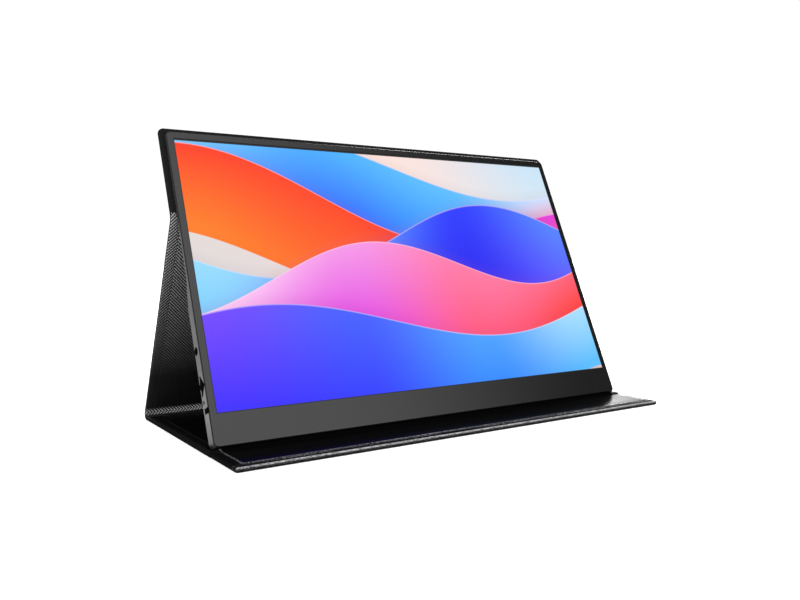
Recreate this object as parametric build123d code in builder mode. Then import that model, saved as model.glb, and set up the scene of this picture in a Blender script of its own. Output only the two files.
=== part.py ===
import os
from math import atan2, cos, degrees, radians, sin, tan

from build123d import *

os.makedirs("parts", exist_ok=True)

# Driving dimensions, in millimetres and degrees.
# X runs along the screen's width, Y away from the viewer, Z up.
# The origin is at the middle of the footprint.

# How far a cut runs past what it cuts
past = 1.0

# Screen and casing
screen_width = 344.2
screen_height = 193.6
bezel_side = 4.7
bezel_top = 5.2
bezel_bottom = 20.6
monitor_corner = 3.5
thin_depth = 4.2
thick_depth = 9.3
thick_height = 92.0
ramp_height = 19.0
seam_depth = 0.7
seam_inset = 0.6
shell_wall = 1.3
shell_back = 1.0
back_edge_round = 1.0
inner_corner = 0.5
lean_angle = 23.75

# Screen stack, from the front
bezel_lip = 0.4
bezel_edge_round = 0.3
cell_thickness = 0.8
cell_margin = 1.8
film_thickness = 0.15
guide_thickness = 0.5
frame_sheet = 0.3
layer_gap = 0.1
chin_flange = 4.0
led_bar_width = 2.0
led_size = 1.2
led_count = 48
led_bar_end_gap = 1.0
led_end_gap = 5.0
skirt_thickness = 0.8
skirt_length = 0.9
tape_width = 6.0
tape_edge = 12.8
tape_end_gap = 3.0
flex_count = 4
flex_width = 26.0
flex_thickness = 0.15
flex_straight = 1.5
flex_slope = 3.0
flex_end_up = 3.0
flex_slot_gap = 0.5

# Boards and what stands on them
board_front = 3.2
board_thickness = 1.0
main_board_width = 86.0
main_board_bottom = 14.0
main_board_top = 84.0
side_board_width = 26.0
side_board_bottom = 18.0
side_board_top = 72.0
timing_board_width = 120.0
timing_board_bottom = 4.0
timing_board_top = 18.0
board_edge_gap = 1.5
screw_inset = 4.0
screw_pad_height = 1.2
screw_pad_rim = 1.2
chip_height = 1.4
chip_start = 16.0
chip_pitch = 22.0
large_chip = 14.0
large_chip_up = 30.0
small_chip = 8.0
small_chip_up = 52.0
spreader_thickness = 0.5
spreader_margin = 3.0
spreader_corner = 2.0
boss_radius = 2.0
board_screw_radius = 0.75
board_screw_head_radius = 1.5
board_screw_head = 0.55
board_screw_bite = 2.6
board_screw_spare = 0.3
casing_screw_radius = 0.75
casing_screw_head_radius = 1.6
casing_screw_head = 0.9
casing_screw_recess = 0.2
casing_screw_socket = 0.6
casing_screw_end = 3.0
screw_clearance = 0.15
pilot_clearance = 0.05
casing_screw_height = 8.0
casing_screw_edge = 11.8
casing_screw_inner = 75.0
speaker_width = 36.0
speaker_height = 14.0
speaker_thickness = 3.6
speaker_centre = 62.0
speaker_up = 70.0
speaker_corner = 2.0
speaker_rim = 2.0
speaker_recess = 0.8
grille_slots = 9
grille_slot_width = 1.2
grille_slot_length = 10.0
grille_pitch = 3.4
lead_radius = 0.4
lead_spacing = 1.2
lead_offset = 3.0
ribbon_thickness = 0.2
ribbon_width = 8.0
display_cable_left = 40.0
display_cable_up = 24.0
link_cable_up = 50.0

# Sockets and controls in the side walls
port_depth = 5.8
socket_recess = 0.3
usb_width = 8.9
usb_thickness = 3.2
usb_length = 7.3
usb_tongue = 0.7
usb_tongue_side = 1.2
usb_heights = (34.0, 50.0)
hdmi_width = 11.2
hdmi_thickness = 3.2
hdmi_length = 7.6
hdmi_up = 68.0
hdmi_corner = 0.6
hdmi_tongue = 0.8
hdmi_tongue_side = 1.5
tongue_set_back = 1.0
socket_floor = 1.0
socket_wall = 0.3
port_clearance = 0.15
jack_up = 62.6
jack_bore = 1.8
jack_bore_length = 13.0
jack_nose_radius = 2.6
jack_body_width = 6.4
jack_body_thickness = 4.8
jack_end_wall = 1.0
dial_up = 39.8
dial_depth = 6.2
dial_radius = 9.0
dial_thickness = 1.6
dial_proud = 0.5
dial_travel = 0.5
dial_slot_length = 13.5
dial_slot_width = 2.2
dial_ridges = 36
dial_ridge_radius = 0.25
scoop_length = 7.4
scoop_width = 7.4
scoop_depth = 0.8
scoop_centre = 4.9
scoop_taper = 20.0
axle_radius = 1.4
axle_clearance = 0.05
axle_proud = 0.2
carrier_thickness = 0.5
carrier_width = 8.0
carrier_end_gap = 0.5
carrier_stop_gap = 0.2
running_gap = 0.1
rail_width = 0.8
rail_floor = 0.3
switch_block_length = 4.0
switch_block_height = 3.0
switch_block_gap = 1.0
button_up = 23.8
button_depth = 4.9
button_width = 6.0
button_height = 3.4
button_proud = 0.2
button_travel = 0.4
button_gap = 0.12
button_flange = 0.6
button_corner = 0.5
power_switch_length = 3.0
power_switch_width = 4.0
power_switch_height = 2.0
plunger_radius = 0.6
plunger_length = 0.5
plunger_gap = 0.1
light_up = 29.4
light_radius = 0.55
light_clearance = 0.05
light_recess = 0.1
light_pipe_reach = 1.0
light_foot_gap = 0.5
light_foot_length = 1.2
light_foot_width = 1.6

# Cover
cover_side_margin = 3.6
cover_top_margin = 5.0
cover_corner = 4.5
sheet_corner = 0.3
cover_gap = 0.2
skin_thickness = 0.8
lining_thickness = 0.8
binding_width = 0.8
hem_width = 6.5
sheet_gap = 0.1
upper_thickness = 2.6
leg_thickness = 2.8
base_thickness = 4.1
flap_thickness = 3.3
upper_panel_height = 68.5
leg_angle = 66.28
strip_thickness = 1.6
rear_bend_radius = 4.1
mid_fold_set_back = 3.0
spine_width = 9.0
spine_crease = 1.5
seat_clearance = 0.3
seat_lip_rear = 1.8
seat_groove_width = 8.8
seat_lip_width = 2.8
crease_width = 3.6
crease_bevel = 1.6
flap_depth = 36.4

# Magnets and the plates that they hold
magnet_radius = 5.0
magnet_thickness = 0.8
upper_magnet_edge = 36.8
upper_magnet_pitch = 70.0
upper_magnet_row = 18.0
upper_magnet_row_pitch = 34.0
plate_size = 14.0
plate_thickness = 0.5
flap_magnet_edge = 26.8
flap_magnet_pitch = 100.0

# Worked out from the driving dimensions
monitor_width = screen_width + 2 * bezel_side
monitor_height = bezel_bottom + screen_height + bezel_top
half_width = monitor_width / 2
screen_centre = bezel_bottom + screen_height / 2
fold_height = monitor_height + cover_top_margin - upper_panel_height
cover_width = monitor_width + 2 * cover_side_margin
lean = radians(lean_angle)
ramp_top = thick_height + ramp_height
thin_back = thin_depth - shell_back
thick_back = thick_depth - shell_back
cell_front = bezel_lip
cell_back = cell_front + cell_thickness
prism_back = cell_back + film_thickness
diffuser_back = prism_back + film_thickness
guide_back = diffuser_back + guide_thickness
reflector_back = guide_back + film_thickness
panel_back = reflector_back + frame_sheet
board_back = board_front + board_thickness

# Side view: directions and points are (y, z) pairs, with y = 0 at the screen face's bottom edge
face_up = (sin(lean), cos(lean))
face_back = (cos(lean), -sin(lean))


def along(start, *steps):
    """A side-view point reached from start by (direction, distance) steps."""
    y, z = start
    for direction, distance in steps:
        y += direction[0] * distance
        z += direction[1] * distance
    return (y, z)


# The rounded bottom edge of the back stands in the seat groove, just clear of its floor.
groove_floor = skin_thickness + lining_thickness
drop_to_edge = (thick_depth - back_edge_round) * sin(lean) - back_edge_round * cos(lean) + back_edge_round
seat_height = groove_floor + seat_clearance + drop_to_edge

# Outer faces of upper panel and leg meet at the mid fold, those of leg and base at the rear fold.
upper_outer_depth = thin_depth + cover_gap + upper_thickness
mid_corner = along((0, seat_height), (face_up, fold_height), (face_back, upper_outer_depth))
rear_interior = radians(leg_angle)
leg_length = mid_corner[1] / sin(rear_interior)
rear_corner = (mid_corner[0] + leg_length * cos(rear_interior), 0)
rear_turn = radians(180) - rear_interior
rear_set_back = rear_bend_radius / tan(rear_interior / 2)
mid_turn = rear_turn - (radians(90) - lean)
mid_bend_radius = mid_fold_set_back / tan(mid_turn / 2)

# The footprint runs from the flap's front edge to the bulge of the rear fold.
seat_lip_front = seat_lip_rear - seat_lip_width
crease_front = seat_lip_front - crease_width
front_edge = crease_front - flap_depth
spine_rear = rear_corner[0] - rear_set_back
rear_edge = spine_rear + rear_bend_radius
shift = -(front_edge + rear_edge) / 2


def placed(point):
    """A side-view point, moved so that the footprint is centred on the origin."""
    return (point[0] + shift, point[1])


leg_up = (-cos(rear_interior), sin(rear_interior))
leg_panel_length = leg_length - rear_set_back - mid_fold_set_back
upper_panel_length = upper_panel_height - mid_fold_set_back
seat_groove_rear = seat_lip_rear + seat_groove_width
spine_front = spine_rear - spine_width
base_rear = spine_front - spine_crease


def panel_plane(start, direction):
    """A cover panel's plane: X across, Y along the panel, Z from its outer face towards its lining."""
    y, z = placed(start)
    return Plane(origin=(0, y, z), x_dir=(1, 0, 0), z_dir=(0, -direction[1], direction[0]))


face_plane = panel_plane((0, seat_height), face_up)
section_plane = Plane(origin=face_plane.origin, x_dir=(0, *face_back), z_dir=(1, 0, 0))
upper_plane = panel_plane(along(mid_corner, (face_up, mid_fold_set_back)), face_up)
leg_plane = panel_plane(along(rear_corner, (leg_up, rear_set_back)), leg_up)
flap_plane = panel_plane((front_edge, 0), (1, 0))
base_plane = panel_plane((seat_lip_front, 0), (1, 0))
spine_plane = panel_plane((spine_front, 0), (1, 0))
side_plane = Plane.YZ


def at_depth(depth):
    """The plane parallel to the screen face, this far behind it; local Y runs up the face."""
    return face_plane.offset(-depth)


def finish(piece, name):
    """Label a finished piece and write it out under its node's name."""
    piece.part.label = name
    export_step(piece.part, f"parts/{name}.step")


# Monitor casing


def casing_form(inset, front, thick, thin, ramp_shift):
    """The casing's outer form, or its hollow: thick below, a ramp, and thin above."""
    with BuildPart() as form:
        with BuildSketch(section_plane):
            with BuildLine():
                Polyline(
                    (front, inset),
                    (thick, inset),
                    (thick, thick_height - ramp_shift),
                    (thin, ramp_top - ramp_shift),
                    (thin, monitor_height - inset),
                    (front, monitor_height - inset),
                    close=True,
                )
            make_face()
        extrude(amount=half_width - inset, both=True)
        with BuildSketch(at_depth(thick_depth + past)):
            with Locations((0, monitor_height / 2)):
                RectangleRounded(
                    monitor_width - 2 * inset,
                    monitor_height - 2 * inset,
                    max(monitor_corner - inset, inner_corner),
                )
        extrude(amount=thick_depth + 2 * past, mode=Mode.INTERSECT)
    return form.part


def back_rim_edges(part):
    """Edges of the back faces that lie on the casing's outline."""
    rim = []
    for face in part.faces():
        if face.normal_at().dot(Vector(0, *face_back)) > 0.9:
            for edge in face.edges():
                spot = face_plane.to_local_coords(edge.center())
                beside = abs(spot.X) > half_width - monitor_corner
                beyond = spot.Y < 0.5 or spot.Y > monitor_height - 0.5
                if beside or beyond:
                    rim.append(edge)
    return rim


outer_form = casing_form(0, seam_depth, thick_depth, thin_depth, 0)
cavity_form = casing_form(shell_wall, -past, thick_back, thin_back, shell_back / 2)
outer_screw = half_width - casing_screw_edge
casing_screw_columns = (-outer_screw, -casing_screw_inner, casing_screw_inner, outer_screw)
screw_points = [(x, casing_screw_height) for x in casing_screw_columns]

main_board_right = half_width - shell_wall - board_edge_gap
main_board_left = main_board_right - main_board_width
side_board_left = -half_width + shell_wall + board_edge_gap
side_board_right = side_board_left + side_board_width
main_screw_columns = (main_board_left + screw_inset, main_board_right - screw_inset)
main_screw_rows = (main_board_bottom + screw_inset, main_board_top - screw_inset)
main_screws = [(x, up) for x in main_screw_columns for up in main_screw_rows]
side_screw_rows = (side_board_bottom + screw_inset, side_board_top - screw_inset)
side_screws = [(side_board_right - screw_inset, up) for up in side_screw_rows]
flex_pitch = timing_board_width / flex_count
flex_columns = [(i - (flex_count - 1) / 2) * flex_pitch for i in range(flex_count)]
timing_screws = [(x, (timing_board_bottom + timing_board_top) / 2) for x in (-flex_pitch, flex_pitch)]
board_screw_points = main_screws + side_screws + timing_screws

dial_x = -half_width - dial_proud + dial_radius
switch_block_x = dial_x + dial_radius + switch_block_gap
socket_depth = board_back + usb_thickness / 2

with BuildPart() as rear_shell:
    add(outer_form)
    fillet(back_rim_edges(rear_shell.part), radius=back_edge_round)
    add(cavity_form, mode=Mode.SUBTRACT)
    # posts for the boards, and pads round the casing screws
    with BuildSketch(at_depth(thick_back)):
        with Locations(*board_screw_points):
            Circle(boss_radius)
    extrude(amount=thick_back - board_back)
    with BuildSketch(at_depth(thick_back)):
        with Locations(*screw_points):
            Circle(casing_screw_head_radius + screw_pad_rim)
    extrude(amount=screw_pad_height)
    # pilot holes for the board screws
    with BuildSketch(at_depth(board_back + board_screw_bite + board_screw_spare)):
        with Locations(*board_screw_points):
            Circle(board_screw_radius + pilot_clearance)
    extrude(amount=board_screw_bite + past, mode=Mode.SUBTRACT)
    # stepped holes for the casing screws
    with BuildSketch(at_depth(thick_depth + past)):
        with Locations(*screw_points):
            Circle(casing_screw_radius + screw_clearance)
    extrude(amount=shell_back + screw_pad_height + 2 * past, mode=Mode.SUBTRACT)
    with BuildSketch(at_depth(thick_depth + past)):
        with Locations(*screw_points):
            Circle(casing_screw_head_radius + screw_clearance)
    extrude(amount=past + casing_screw_head + casing_screw_recess, mode=Mode.SUBTRACT)
    # speaker grilles
    with BuildSketch(at_depth(thick_depth + past)):
        with Locations((-speaker_centre, speaker_up), (speaker_centre, speaker_up)):
            with GridLocations(grille_pitch, 0, grille_slots, 1):
                SlotOverall(grille_slot_length, grille_slot_width, rotation=90)
    extrude(amount=shell_back + 2 * past, mode=Mode.SUBTRACT)
    # right wall: USB-C and HDMI openings
    with BuildSketch(section_plane.offset(half_width + past)):
        for up in usb_heights:
            with Locations((socket_depth, up)):
                SlotOverall(usb_width + 2 * port_clearance, usb_thickness + 2 * port_clearance, rotation=90)
        with Locations((socket_depth, hdmi_up)):
            RectangleRounded(
                hdmi_thickness + 2 * port_clearance, hdmi_width + 2 * port_clearance, hdmi_corner
            )
    extrude(amount=-shell_wall - 2 * past, mode=Mode.SUBTRACT)
    # left wall: headphone hole, light hole, button opening, dial slot and scoop
    with BuildSketch(section_plane.offset(-half_width - past)):
        with Locations((port_depth, jack_up)):
            Circle(jack_nose_radius + port_clearance)
        with Locations((port_depth, light_up)):
            Circle(light_radius + light_clearance)
        with Locations((button_depth, button_up)):
            Rectangle(button_width + 2 * button_gap, button_height + 2 * button_gap)
        with Locations((dial_depth, dial_up)):
            SlotOverall(dial_slot_length, dial_slot_width, rotation=90)
    extrude(amount=shell_wall + 2 * past, mode=Mode.SUBTRACT)
    with BuildSketch(section_plane.offset(-half_width)):
        with BuildLine():
            Polyline(
                (scoop_centre - scoop_width / 2, dial_up),
                (scoop_centre, dial_up + scoop_length / 2),
                (scoop_centre + scoop_width / 2, dial_up),
                (scoop_centre, dial_up - scoop_length / 2),
                close=True,
            )
        make_face()
    extrude(amount=scoop_depth, taper=scoop_taper, mode=Mode.SUBTRACT)
finish(rear_shell, "rear_shell")

bezel_width = monitor_width - 2 * seam_inset
bezel_height = monitor_height - 2 * seam_inset
skirt_width = monitor_width - 2 * (shell_wall + layer_gap)
skirt_height = monitor_height - 2 * (shell_wall + layer_gap)
cell_width = screen_width + 2 * cell_margin
cell_bottom = bezel_bottom - chin_flange
cell_height = screen_height + chin_flange + cell_margin
cell_middle = cell_bottom + cell_height / 2
pocket_width = cell_width + 2 * (2 * layer_gap + frame_sheet)
pocket_height = cell_height + 2 * (2 * layer_gap + frame_sheet)
post_end = thick_back - screw_pad_height - layer_gap

with BuildPart() as front_bezel:
    with BuildSketch(at_depth(seam_depth)):
        with Locations((0, monitor_height / 2)):
            RectangleRounded(bezel_width, bezel_height, monitor_corner - seam_inset)
    extrude(amount=seam_depth)
    front_face = front_bezel.faces().sort_by(Axis(face_plane.origin, face_plane.z_dir))[-1]
    fillet(front_face.outer_wire().edges(), radius=bezel_edge_round)
    # rim that drops inside the shell's wall
    with BuildSketch(at_depth(seam_depth + skirt_length)):
        with Locations((0, monitor_height / 2)):
            RectangleRounded(skirt_width, skirt_height, monitor_corner - shell_wall)
            RectangleRounded(
                skirt_width - 2 * skirt_thickness,
                skirt_height - 2 * skirt_thickness,
                inner_corner,
                mode=Mode.SUBTRACT,
            )
    extrude(amount=skirt_length)
    # posts that take the casing screws
    with BuildSketch(at_depth(post_end)):
        with Locations(*screw_points):
            Circle(boss_radius)
    extrude(amount=post_end - seam_depth)
    with BuildSketch(at_depth(thick_back)):
        with Locations(*screw_points):
            Circle(casing_screw_radius + pilot_clearance)
    extrude(amount=thick_back - seam_depth - skirt_length, mode=Mode.SUBTRACT)
    # window, and the rebate behind it that holds the panel
    with BuildSketch(at_depth(seam_depth)):
        with Locations((0, screen_centre)):
            Rectangle(screen_width, screen_height)
    extrude(amount=seam_depth + past, mode=Mode.SUBTRACT)
    with BuildSketch(at_depth(seam_depth + skirt_length)):
        with Locations((0, cell_middle)):
            Rectangle(pocket_width, pocket_height)
    extrude(amount=seam_depth + skirt_length - bezel_lip, mode=Mode.SUBTRACT)
finish(front_bezel, "front_bezel")

# Screen stack


def screen_layer(front, back, width, height, middle):
    """One flat layer of the screen stack."""
    with BuildPart() as layer:
        with BuildSketch(at_depth(back)):
            with Locations((0, middle)):
                Rectangle(width, height)
        extrude(amount=back - front)
    return layer


stack_bottom = cell_bottom + led_bar_width + layer_gap
stack_height = cell_bottom + cell_height - stack_bottom
stack_middle = stack_bottom + stack_height / 2
finish(screen_layer(cell_front, cell_back, cell_width, cell_height, cell_middle), "display_cell")
finish(screen_layer(cell_back, prism_back, cell_width, stack_height, stack_middle), "prism_film")
finish(screen_layer(prism_back, diffuser_back, cell_width, stack_height, stack_middle), "diffuser_film")
finish(screen_layer(diffuser_back, guide_back, cell_width, stack_height, stack_middle), "light_guide")
finish(screen_layer(guide_back, reflector_back, cell_width, stack_height, stack_middle), "reflector_film")

with BuildPart() as led_strip:
    with BuildSketch(at_depth(reflector_back)):
        with Locations((0, cell_bottom + led_bar_width / 2)):
            Rectangle(cell_width - 2 * led_bar_end_gap, led_bar_width)
    extrude(amount=film_thickness)
    with BuildSketch(at_depth(guide_back)):
        with Locations((0, stack_bottom - layer_gap - led_size / 2)):
            with GridLocations((cell_width - 2 * led_end_gap) / (led_count - 1), 0, led_count, 1):
                Rectangle(led_size, led_size)
    extrude(amount=guide_thickness)
finish(led_strip, "led_strip")

frame_inner_width = cell_width + 2 * layer_gap
frame_inner_height = cell_height + 2 * layer_gap
with BuildPart() as panel_frame:
    with BuildSketch(at_depth(panel_back)):
        with Locations((0, cell_middle)):
            Rectangle(frame_inner_width + 2 * frame_sheet, frame_inner_height + 2 * frame_sheet)
    extrude(amount=panel_back - bezel_lip)
    with BuildSketch(at_depth(reflector_back)):
        with Locations((0, cell_middle)):
            Rectangle(frame_inner_width, frame_inner_height)
    extrude(amount=reflector_back, mode=Mode.SUBTRACT)
    # slot in the bottom wall for the flexible cables
    with BuildSketch(at_depth(cell_back)):
        with Locations((0, cell_bottom - layer_gap - frame_sheet / 2)):
            with GridLocations(flex_pitch, 0, flex_count, 1):
                Rectangle(flex_width + 2 * flex_slot_gap, 4 * frame_sheet)
    extrude(amount=cell_back, mode=Mode.SUBTRACT)
finish(panel_frame, "panel_frame")

tape_bottom = ramp_top + tape_end_gap
tape_top = monitor_height - shell_wall - tape_end_gap
tape_columns = (tape_edge - half_width, 0, half_width - tape_edge)
with BuildPart() as panel_tape:
    with BuildSketch(at_depth(thin_back)):
        for x in tape_columns:
            with Locations((x, (tape_bottom + tape_top) / 2)):
                Rectangle(tape_width, tape_top - tape_bottom)
    extrude(amount=thin_back - panel_back)
finish(panel_tape, "panel_tape")

# Each cable leaves the cell's bottom edge, turns back and is bonded to the timing board's front.
flex_front = (cell_front + cell_back) / 2
flex_turn = cell_bottom - flex_straight
flex_flat = flex_turn - flex_slope
flex_end = timing_board_bottom + flex_end_up
with BuildPart() as panel_flex:
    for x in flex_columns:
        with BuildSketch(section_plane.offset(x - flex_width / 2)):
            with BuildLine():
                Polyline(
                    (flex_front, cell_bottom),
                    (flex_front, flex_turn),
                    (board_front - flex_thickness, flex_flat),
                    (board_front - flex_thickness, flex_end),
                    (board_front, flex_end),
                    (board_front, flex_flat),
                    (flex_front + flex_thickness, flex_turn),
                    (flex_front + flex_thickness, cell_bottom),
                    close=True,
                )
            make_face()
        extrude(amount=flex_width)
finish(panel_flex, "panel_flex")

# Boards


def board(left, right, bottom, top, screws):
    """A circuit board with its screw holes."""
    with BuildPart() as sheet:
        with BuildSketch(at_depth(board_back)):
            with Locations(((left + right) / 2, (bottom + top) / 2)):
                Rectangle(right - left, top - bottom)
            with Locations(*screws):
                Circle(board_screw_radius + screw_clearance, mode=Mode.SUBTRACT)
        extrude(amount=board_thickness)
    return sheet


main_board = board(main_board_left, main_board_right, main_board_bottom, main_board_top, main_screws)
finish(main_board, "main_board")
timing_ends = (-timing_board_width / 2, timing_board_width / 2)
timing_board = board(*timing_ends, timing_board_bottom, timing_board_top, timing_screws)
finish(timing_board, "timing_board")

side_sheet = board(side_board_left, side_board_right, side_board_bottom, side_board_top, side_screws)
with BuildPart() as side_board:
    add(side_sheet.part)
    # notch that the headphone socket drops through
    with BuildSketch(at_depth(board_back + past)):
        with Locations((side_board_left, jack_up)):
            Rectangle(
                2 * (jack_bore_length + jack_end_wall), jack_body_width + 4 * port_clearance
            )
    extrude(amount=board_thickness + 2 * past, mode=Mode.SUBTRACT)
finish(side_board, "side_board")

chip_columns = [main_board_left + chip_start, main_board_left + chip_start + chip_pitch]
large_row = main_board_bottom + large_chip_up
small_row = main_board_bottom + small_chip_up
with BuildPart() as board_chips:
    with BuildSketch(at_depth(board_back + chip_height)):
        for row, size in ((large_row, large_chip), (small_row, small_chip)):
            for x in chip_columns:
                with Locations((x, row)):
                    Rectangle(size, size)
    extrude(amount=chip_height)
finish(board_chips, "board_chips")

spreader_bottom = large_row - large_chip / 2 - spreader_margin
spreader_top = small_row + small_chip / 2 + spreader_margin
with BuildPart() as heat_spreader:
    with BuildSketch(at_depth(board_back + chip_height + spreader_thickness)):
        with Locations((sum(chip_columns) / 2, (spreader_bottom + spreader_top) / 2)):
            RectangleRounded(
                chip_pitch + large_chip + 2 * spreader_margin, spreader_top - spreader_bottom, spreader_corner
            )
    extrude(amount=spreader_thickness)
finish(heat_spreader, "heat_spreader")

with BuildPart() as board_screws:
    with BuildSketch(at_depth(board_front)):
        with Locations(*board_screw_points):
            Circle(board_screw_head_radius)
    extrude(amount=board_screw_head)
    with BuildSketch(at_depth(board_back + board_screw_bite)):
        with Locations(*board_screw_points):
            Circle(board_screw_radius)
    extrude(amount=board_thickness + board_screw_bite)
finish(board_screws, "board_screws")

head_seat = thick_depth - casing_screw_head - casing_screw_recess
with BuildPart() as casing_screws:
    with BuildSketch(at_depth(head_seat + casing_screw_head)):
        with Locations(*screw_points):
            Circle(casing_screw_head_radius)
            RegularPolygon(casing_screw_socket, 6, mode=Mode.SUBTRACT)
    extrude(amount=casing_screw_head)
    with BuildSketch(at_depth(head_seat)):
        with Locations(*screw_points):
            Circle(casing_screw_radius)
    extrude(amount=head_seat - casing_screw_end)
finish(casing_screws, "casing_screws")

with BuildPart() as display_cable:
    with BuildSketch(at_depth(board_back + ribbon_thickness)):
        with BuildLine():
            Polyline(
                (display_cable_left, timing_board_top - ribbon_width),
                (display_cable_left + ribbon_width, timing_board_top - ribbon_width),
                (display_cable_left + ribbon_width, display_cable_up),
                (main_board_left + ribbon_width, display_cable_up),
                (main_board_left + ribbon_width, display_cable_up + ribbon_width),
                (display_cable_left, display_cable_up + ribbon_width),
                close=True,
            )
        make_face()
    extrude(amount=ribbon_thickness)
finish(display_cable, "display_cable")

with BuildPart() as link_cable:
    with BuildSketch(at_depth(board_back + ribbon_thickness)):
        with Locations(((side_board_right + main_board_left) / 2, link_cable_up)):
            Rectangle(main_board_left - side_board_right + ribbon_width, ribbon_width)
    extrude(amount=ribbon_thickness)
finish(link_cable, "link_cable")

# Speakers stand on the shell's back wall behind their grilles.
for name, side in (("left_speaker", -1), ("right_speaker", 1)):
    with BuildPart() as speaker:
        with BuildSketch(at_depth(thick_back)):
            with Locations((side * speaker_centre, speaker_up)):
                RectangleRounded(speaker_width, speaker_height, speaker_corner)
        extrude(amount=speaker_thickness)
        with BuildSketch(at_depth(thick_back)):
            with Locations((side * speaker_centre, speaker_up)):
                SlotOverall(speaker_width - 2 * speaker_rim, speaker_height - 2 * speaker_rim)
        extrude(amount=speaker_recess, mode=Mode.SUBTRACT)
    finish(speaker, name)

# Each pair of leads runs over the speaker's front to the edge of the main board.
lead_depth = thick_back - speaker_thickness - lead_radius
lead_runs = [(-speaker_centre, speaker_up - lead_offset), (speaker_centre, speaker_up + lead_offset)]
with BuildPart() as speaker_leads:
    for start, up in lead_runs:
        with BuildSketch(section_plane.offset(start)):
            with Locations((lead_depth, up - lead_spacing / 2), (lead_depth, up + lead_spacing / 2)):
                Circle(lead_radius)
        extrude(amount=main_board_left - start)
finish(speaker_leads, "speaker_leads")

# Sockets
with BuildPart() as usb_c_sockets:
    for up in usb_heights:
        with BuildSketch(section_plane.offset(half_width - socket_recess)):
            with Locations((socket_depth, up)):
                SlotOverall(usb_width, usb_thickness, rotation=90)
        extrude(amount=-usb_length)
        with BuildSketch(section_plane.offset(half_width - socket_recess)):
            with Locations((socket_depth, up)):
                SlotOverall(usb_width - 2 * socket_wall, usb_thickness - 2 * socket_wall, rotation=90)
        extrude(amount=-usb_length + socket_floor, mode=Mode.SUBTRACT)
        with BuildSketch(section_plane.offset(half_width - usb_length)):
            with Locations((socket_depth, up)):
                Rectangle(usb_tongue, usb_width - 2 * usb_tongue_side)
        extrude(amount=usb_length - socket_recess - tongue_set_back)
finish(usb_c_sockets, "usb_c_sockets")

with BuildPart() as mini_hdmi_socket:
    with BuildSketch(section_plane.offset(half_width - socket_recess)):
        with Locations((socket_depth, hdmi_up)):
            RectangleRounded(hdmi_thickness, hdmi_width, hdmi_corner)
    extrude(amount=-hdmi_length)
    with BuildSketch(section_plane.offset(half_width - socket_recess)):
        with Locations((socket_depth, hdmi_up)):
            RectangleRounded(
                hdmi_thickness - 2 * socket_wall, hdmi_width - 2 * socket_wall, hdmi_corner - socket_wall
            )
    extrude(amount=-hdmi_length + socket_floor, mode=Mode.SUBTRACT)
    with BuildSketch(section_plane.offset(half_width - hdmi_length)):
        with Locations((socket_depth, hdmi_up)):
            Rectangle(hdmi_tongue, hdmi_width - 2 * hdmi_tongue_side)
    extrude(amount=hdmi_length - socket_recess - tongue_set_back)
finish(mini_hdmi_socket, "mini_hdmi_socket")

jack_front = half_width - shell_wall - layer_gap
with BuildPart() as audio_jack:
    with BuildSketch(section_plane.offset(-jack_front)):
        with Locations((port_depth, jack_up)):
            Rectangle(jack_body_thickness, jack_body_width)
    extrude(amount=jack_bore_length + jack_end_wall - shell_wall - layer_gap)
    with BuildSketch(section_plane.offset(-half_width)):
        with Locations((port_depth, jack_up)):
            Circle(jack_nose_radius)
    extrude(amount=shell_wall + layer_gap)
    with BuildSketch(section_plane.offset(-half_width)):
        with Locations((port_depth, jack_up)):
            Circle(jack_bore)
    extrude(amount=jack_bore_length, mode=Mode.SUBTRACT)
finish(audio_jack, "audio_jack")

# Dial: the wheel turns on the carrier's axle, the carrier slides in the switch's rails
floor_back = board_back + rail_floor
carrier_front = floor_back + running_gap
carrier_back = carrier_front + carrier_thickness
dial_front = dial_depth - dial_thickness / 2
block_back = board_back + switch_block_height
with BuildPart() as dial_switch:
    rail_left = side_board_left
    rail_length = switch_block_x - rail_left
    with BuildSketch(at_depth(floor_back)):
        with Locations((rail_left + rail_length / 2, dial_up)):
            Rectangle(rail_length, carrier_width + 2 * (running_gap + rail_width))
    extrude(amount=floor_back - board_back)
    with BuildSketch(at_depth(carrier_back)):
        for side in (-1, 1):
            rail_up = dial_up + side * (carrier_width / 2 + running_gap + rail_width / 2)
            with Locations((rail_left + rail_length / 2, rail_up)):
                Rectangle(rail_length, rail_width)
    extrude(amount=carrier_back - board_back)
    with BuildSketch(at_depth(block_back)):
        with Locations((switch_block_x + switch_block_length / 2, dial_up)):
            Rectangle(switch_block_length, carrier_width + 2 * (running_gap + rail_width))
    extrude(amount=block_back - board_back)
finish(dial_switch, "dial_switch")

carrier_left = side_board_left + carrier_end_gap
carrier_right = switch_block_x - dial_travel - carrier_stop_gap
axle_back = dial_depth + dial_thickness / 2 + axle_proud
with BuildPart() as dial_carrier:
    with BuildSketch(at_depth(carrier_back)):
        with Locations(((carrier_left + carrier_right) / 2, dial_up)):
            Rectangle(carrier_right - carrier_left, carrier_width)
    extrude(amount=carrier_thickness)
    with BuildSketch(at_depth(axle_back)):
        with Locations((dial_x, dial_up)):
            Circle(axle_radius)
    extrude(amount=axle_back - carrier_back)
finish(dial_carrier, "dial_carrier")

with BuildPart() as dial_wheel:
    with BuildSketch(at_depth(dial_depth + dial_thickness / 2)):
        with Locations((dial_x, dial_up)):
            Circle(dial_radius)
            with PolarLocations(dial_radius, dial_ridges):
                Circle(dial_ridge_radius, mode=Mode.SUBTRACT)
            Circle(axle_radius + axle_clearance, mode=Mode.SUBTRACT)
    extrude(amount=dial_thickness)
finish(dial_wheel, "dial_wheel")

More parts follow.
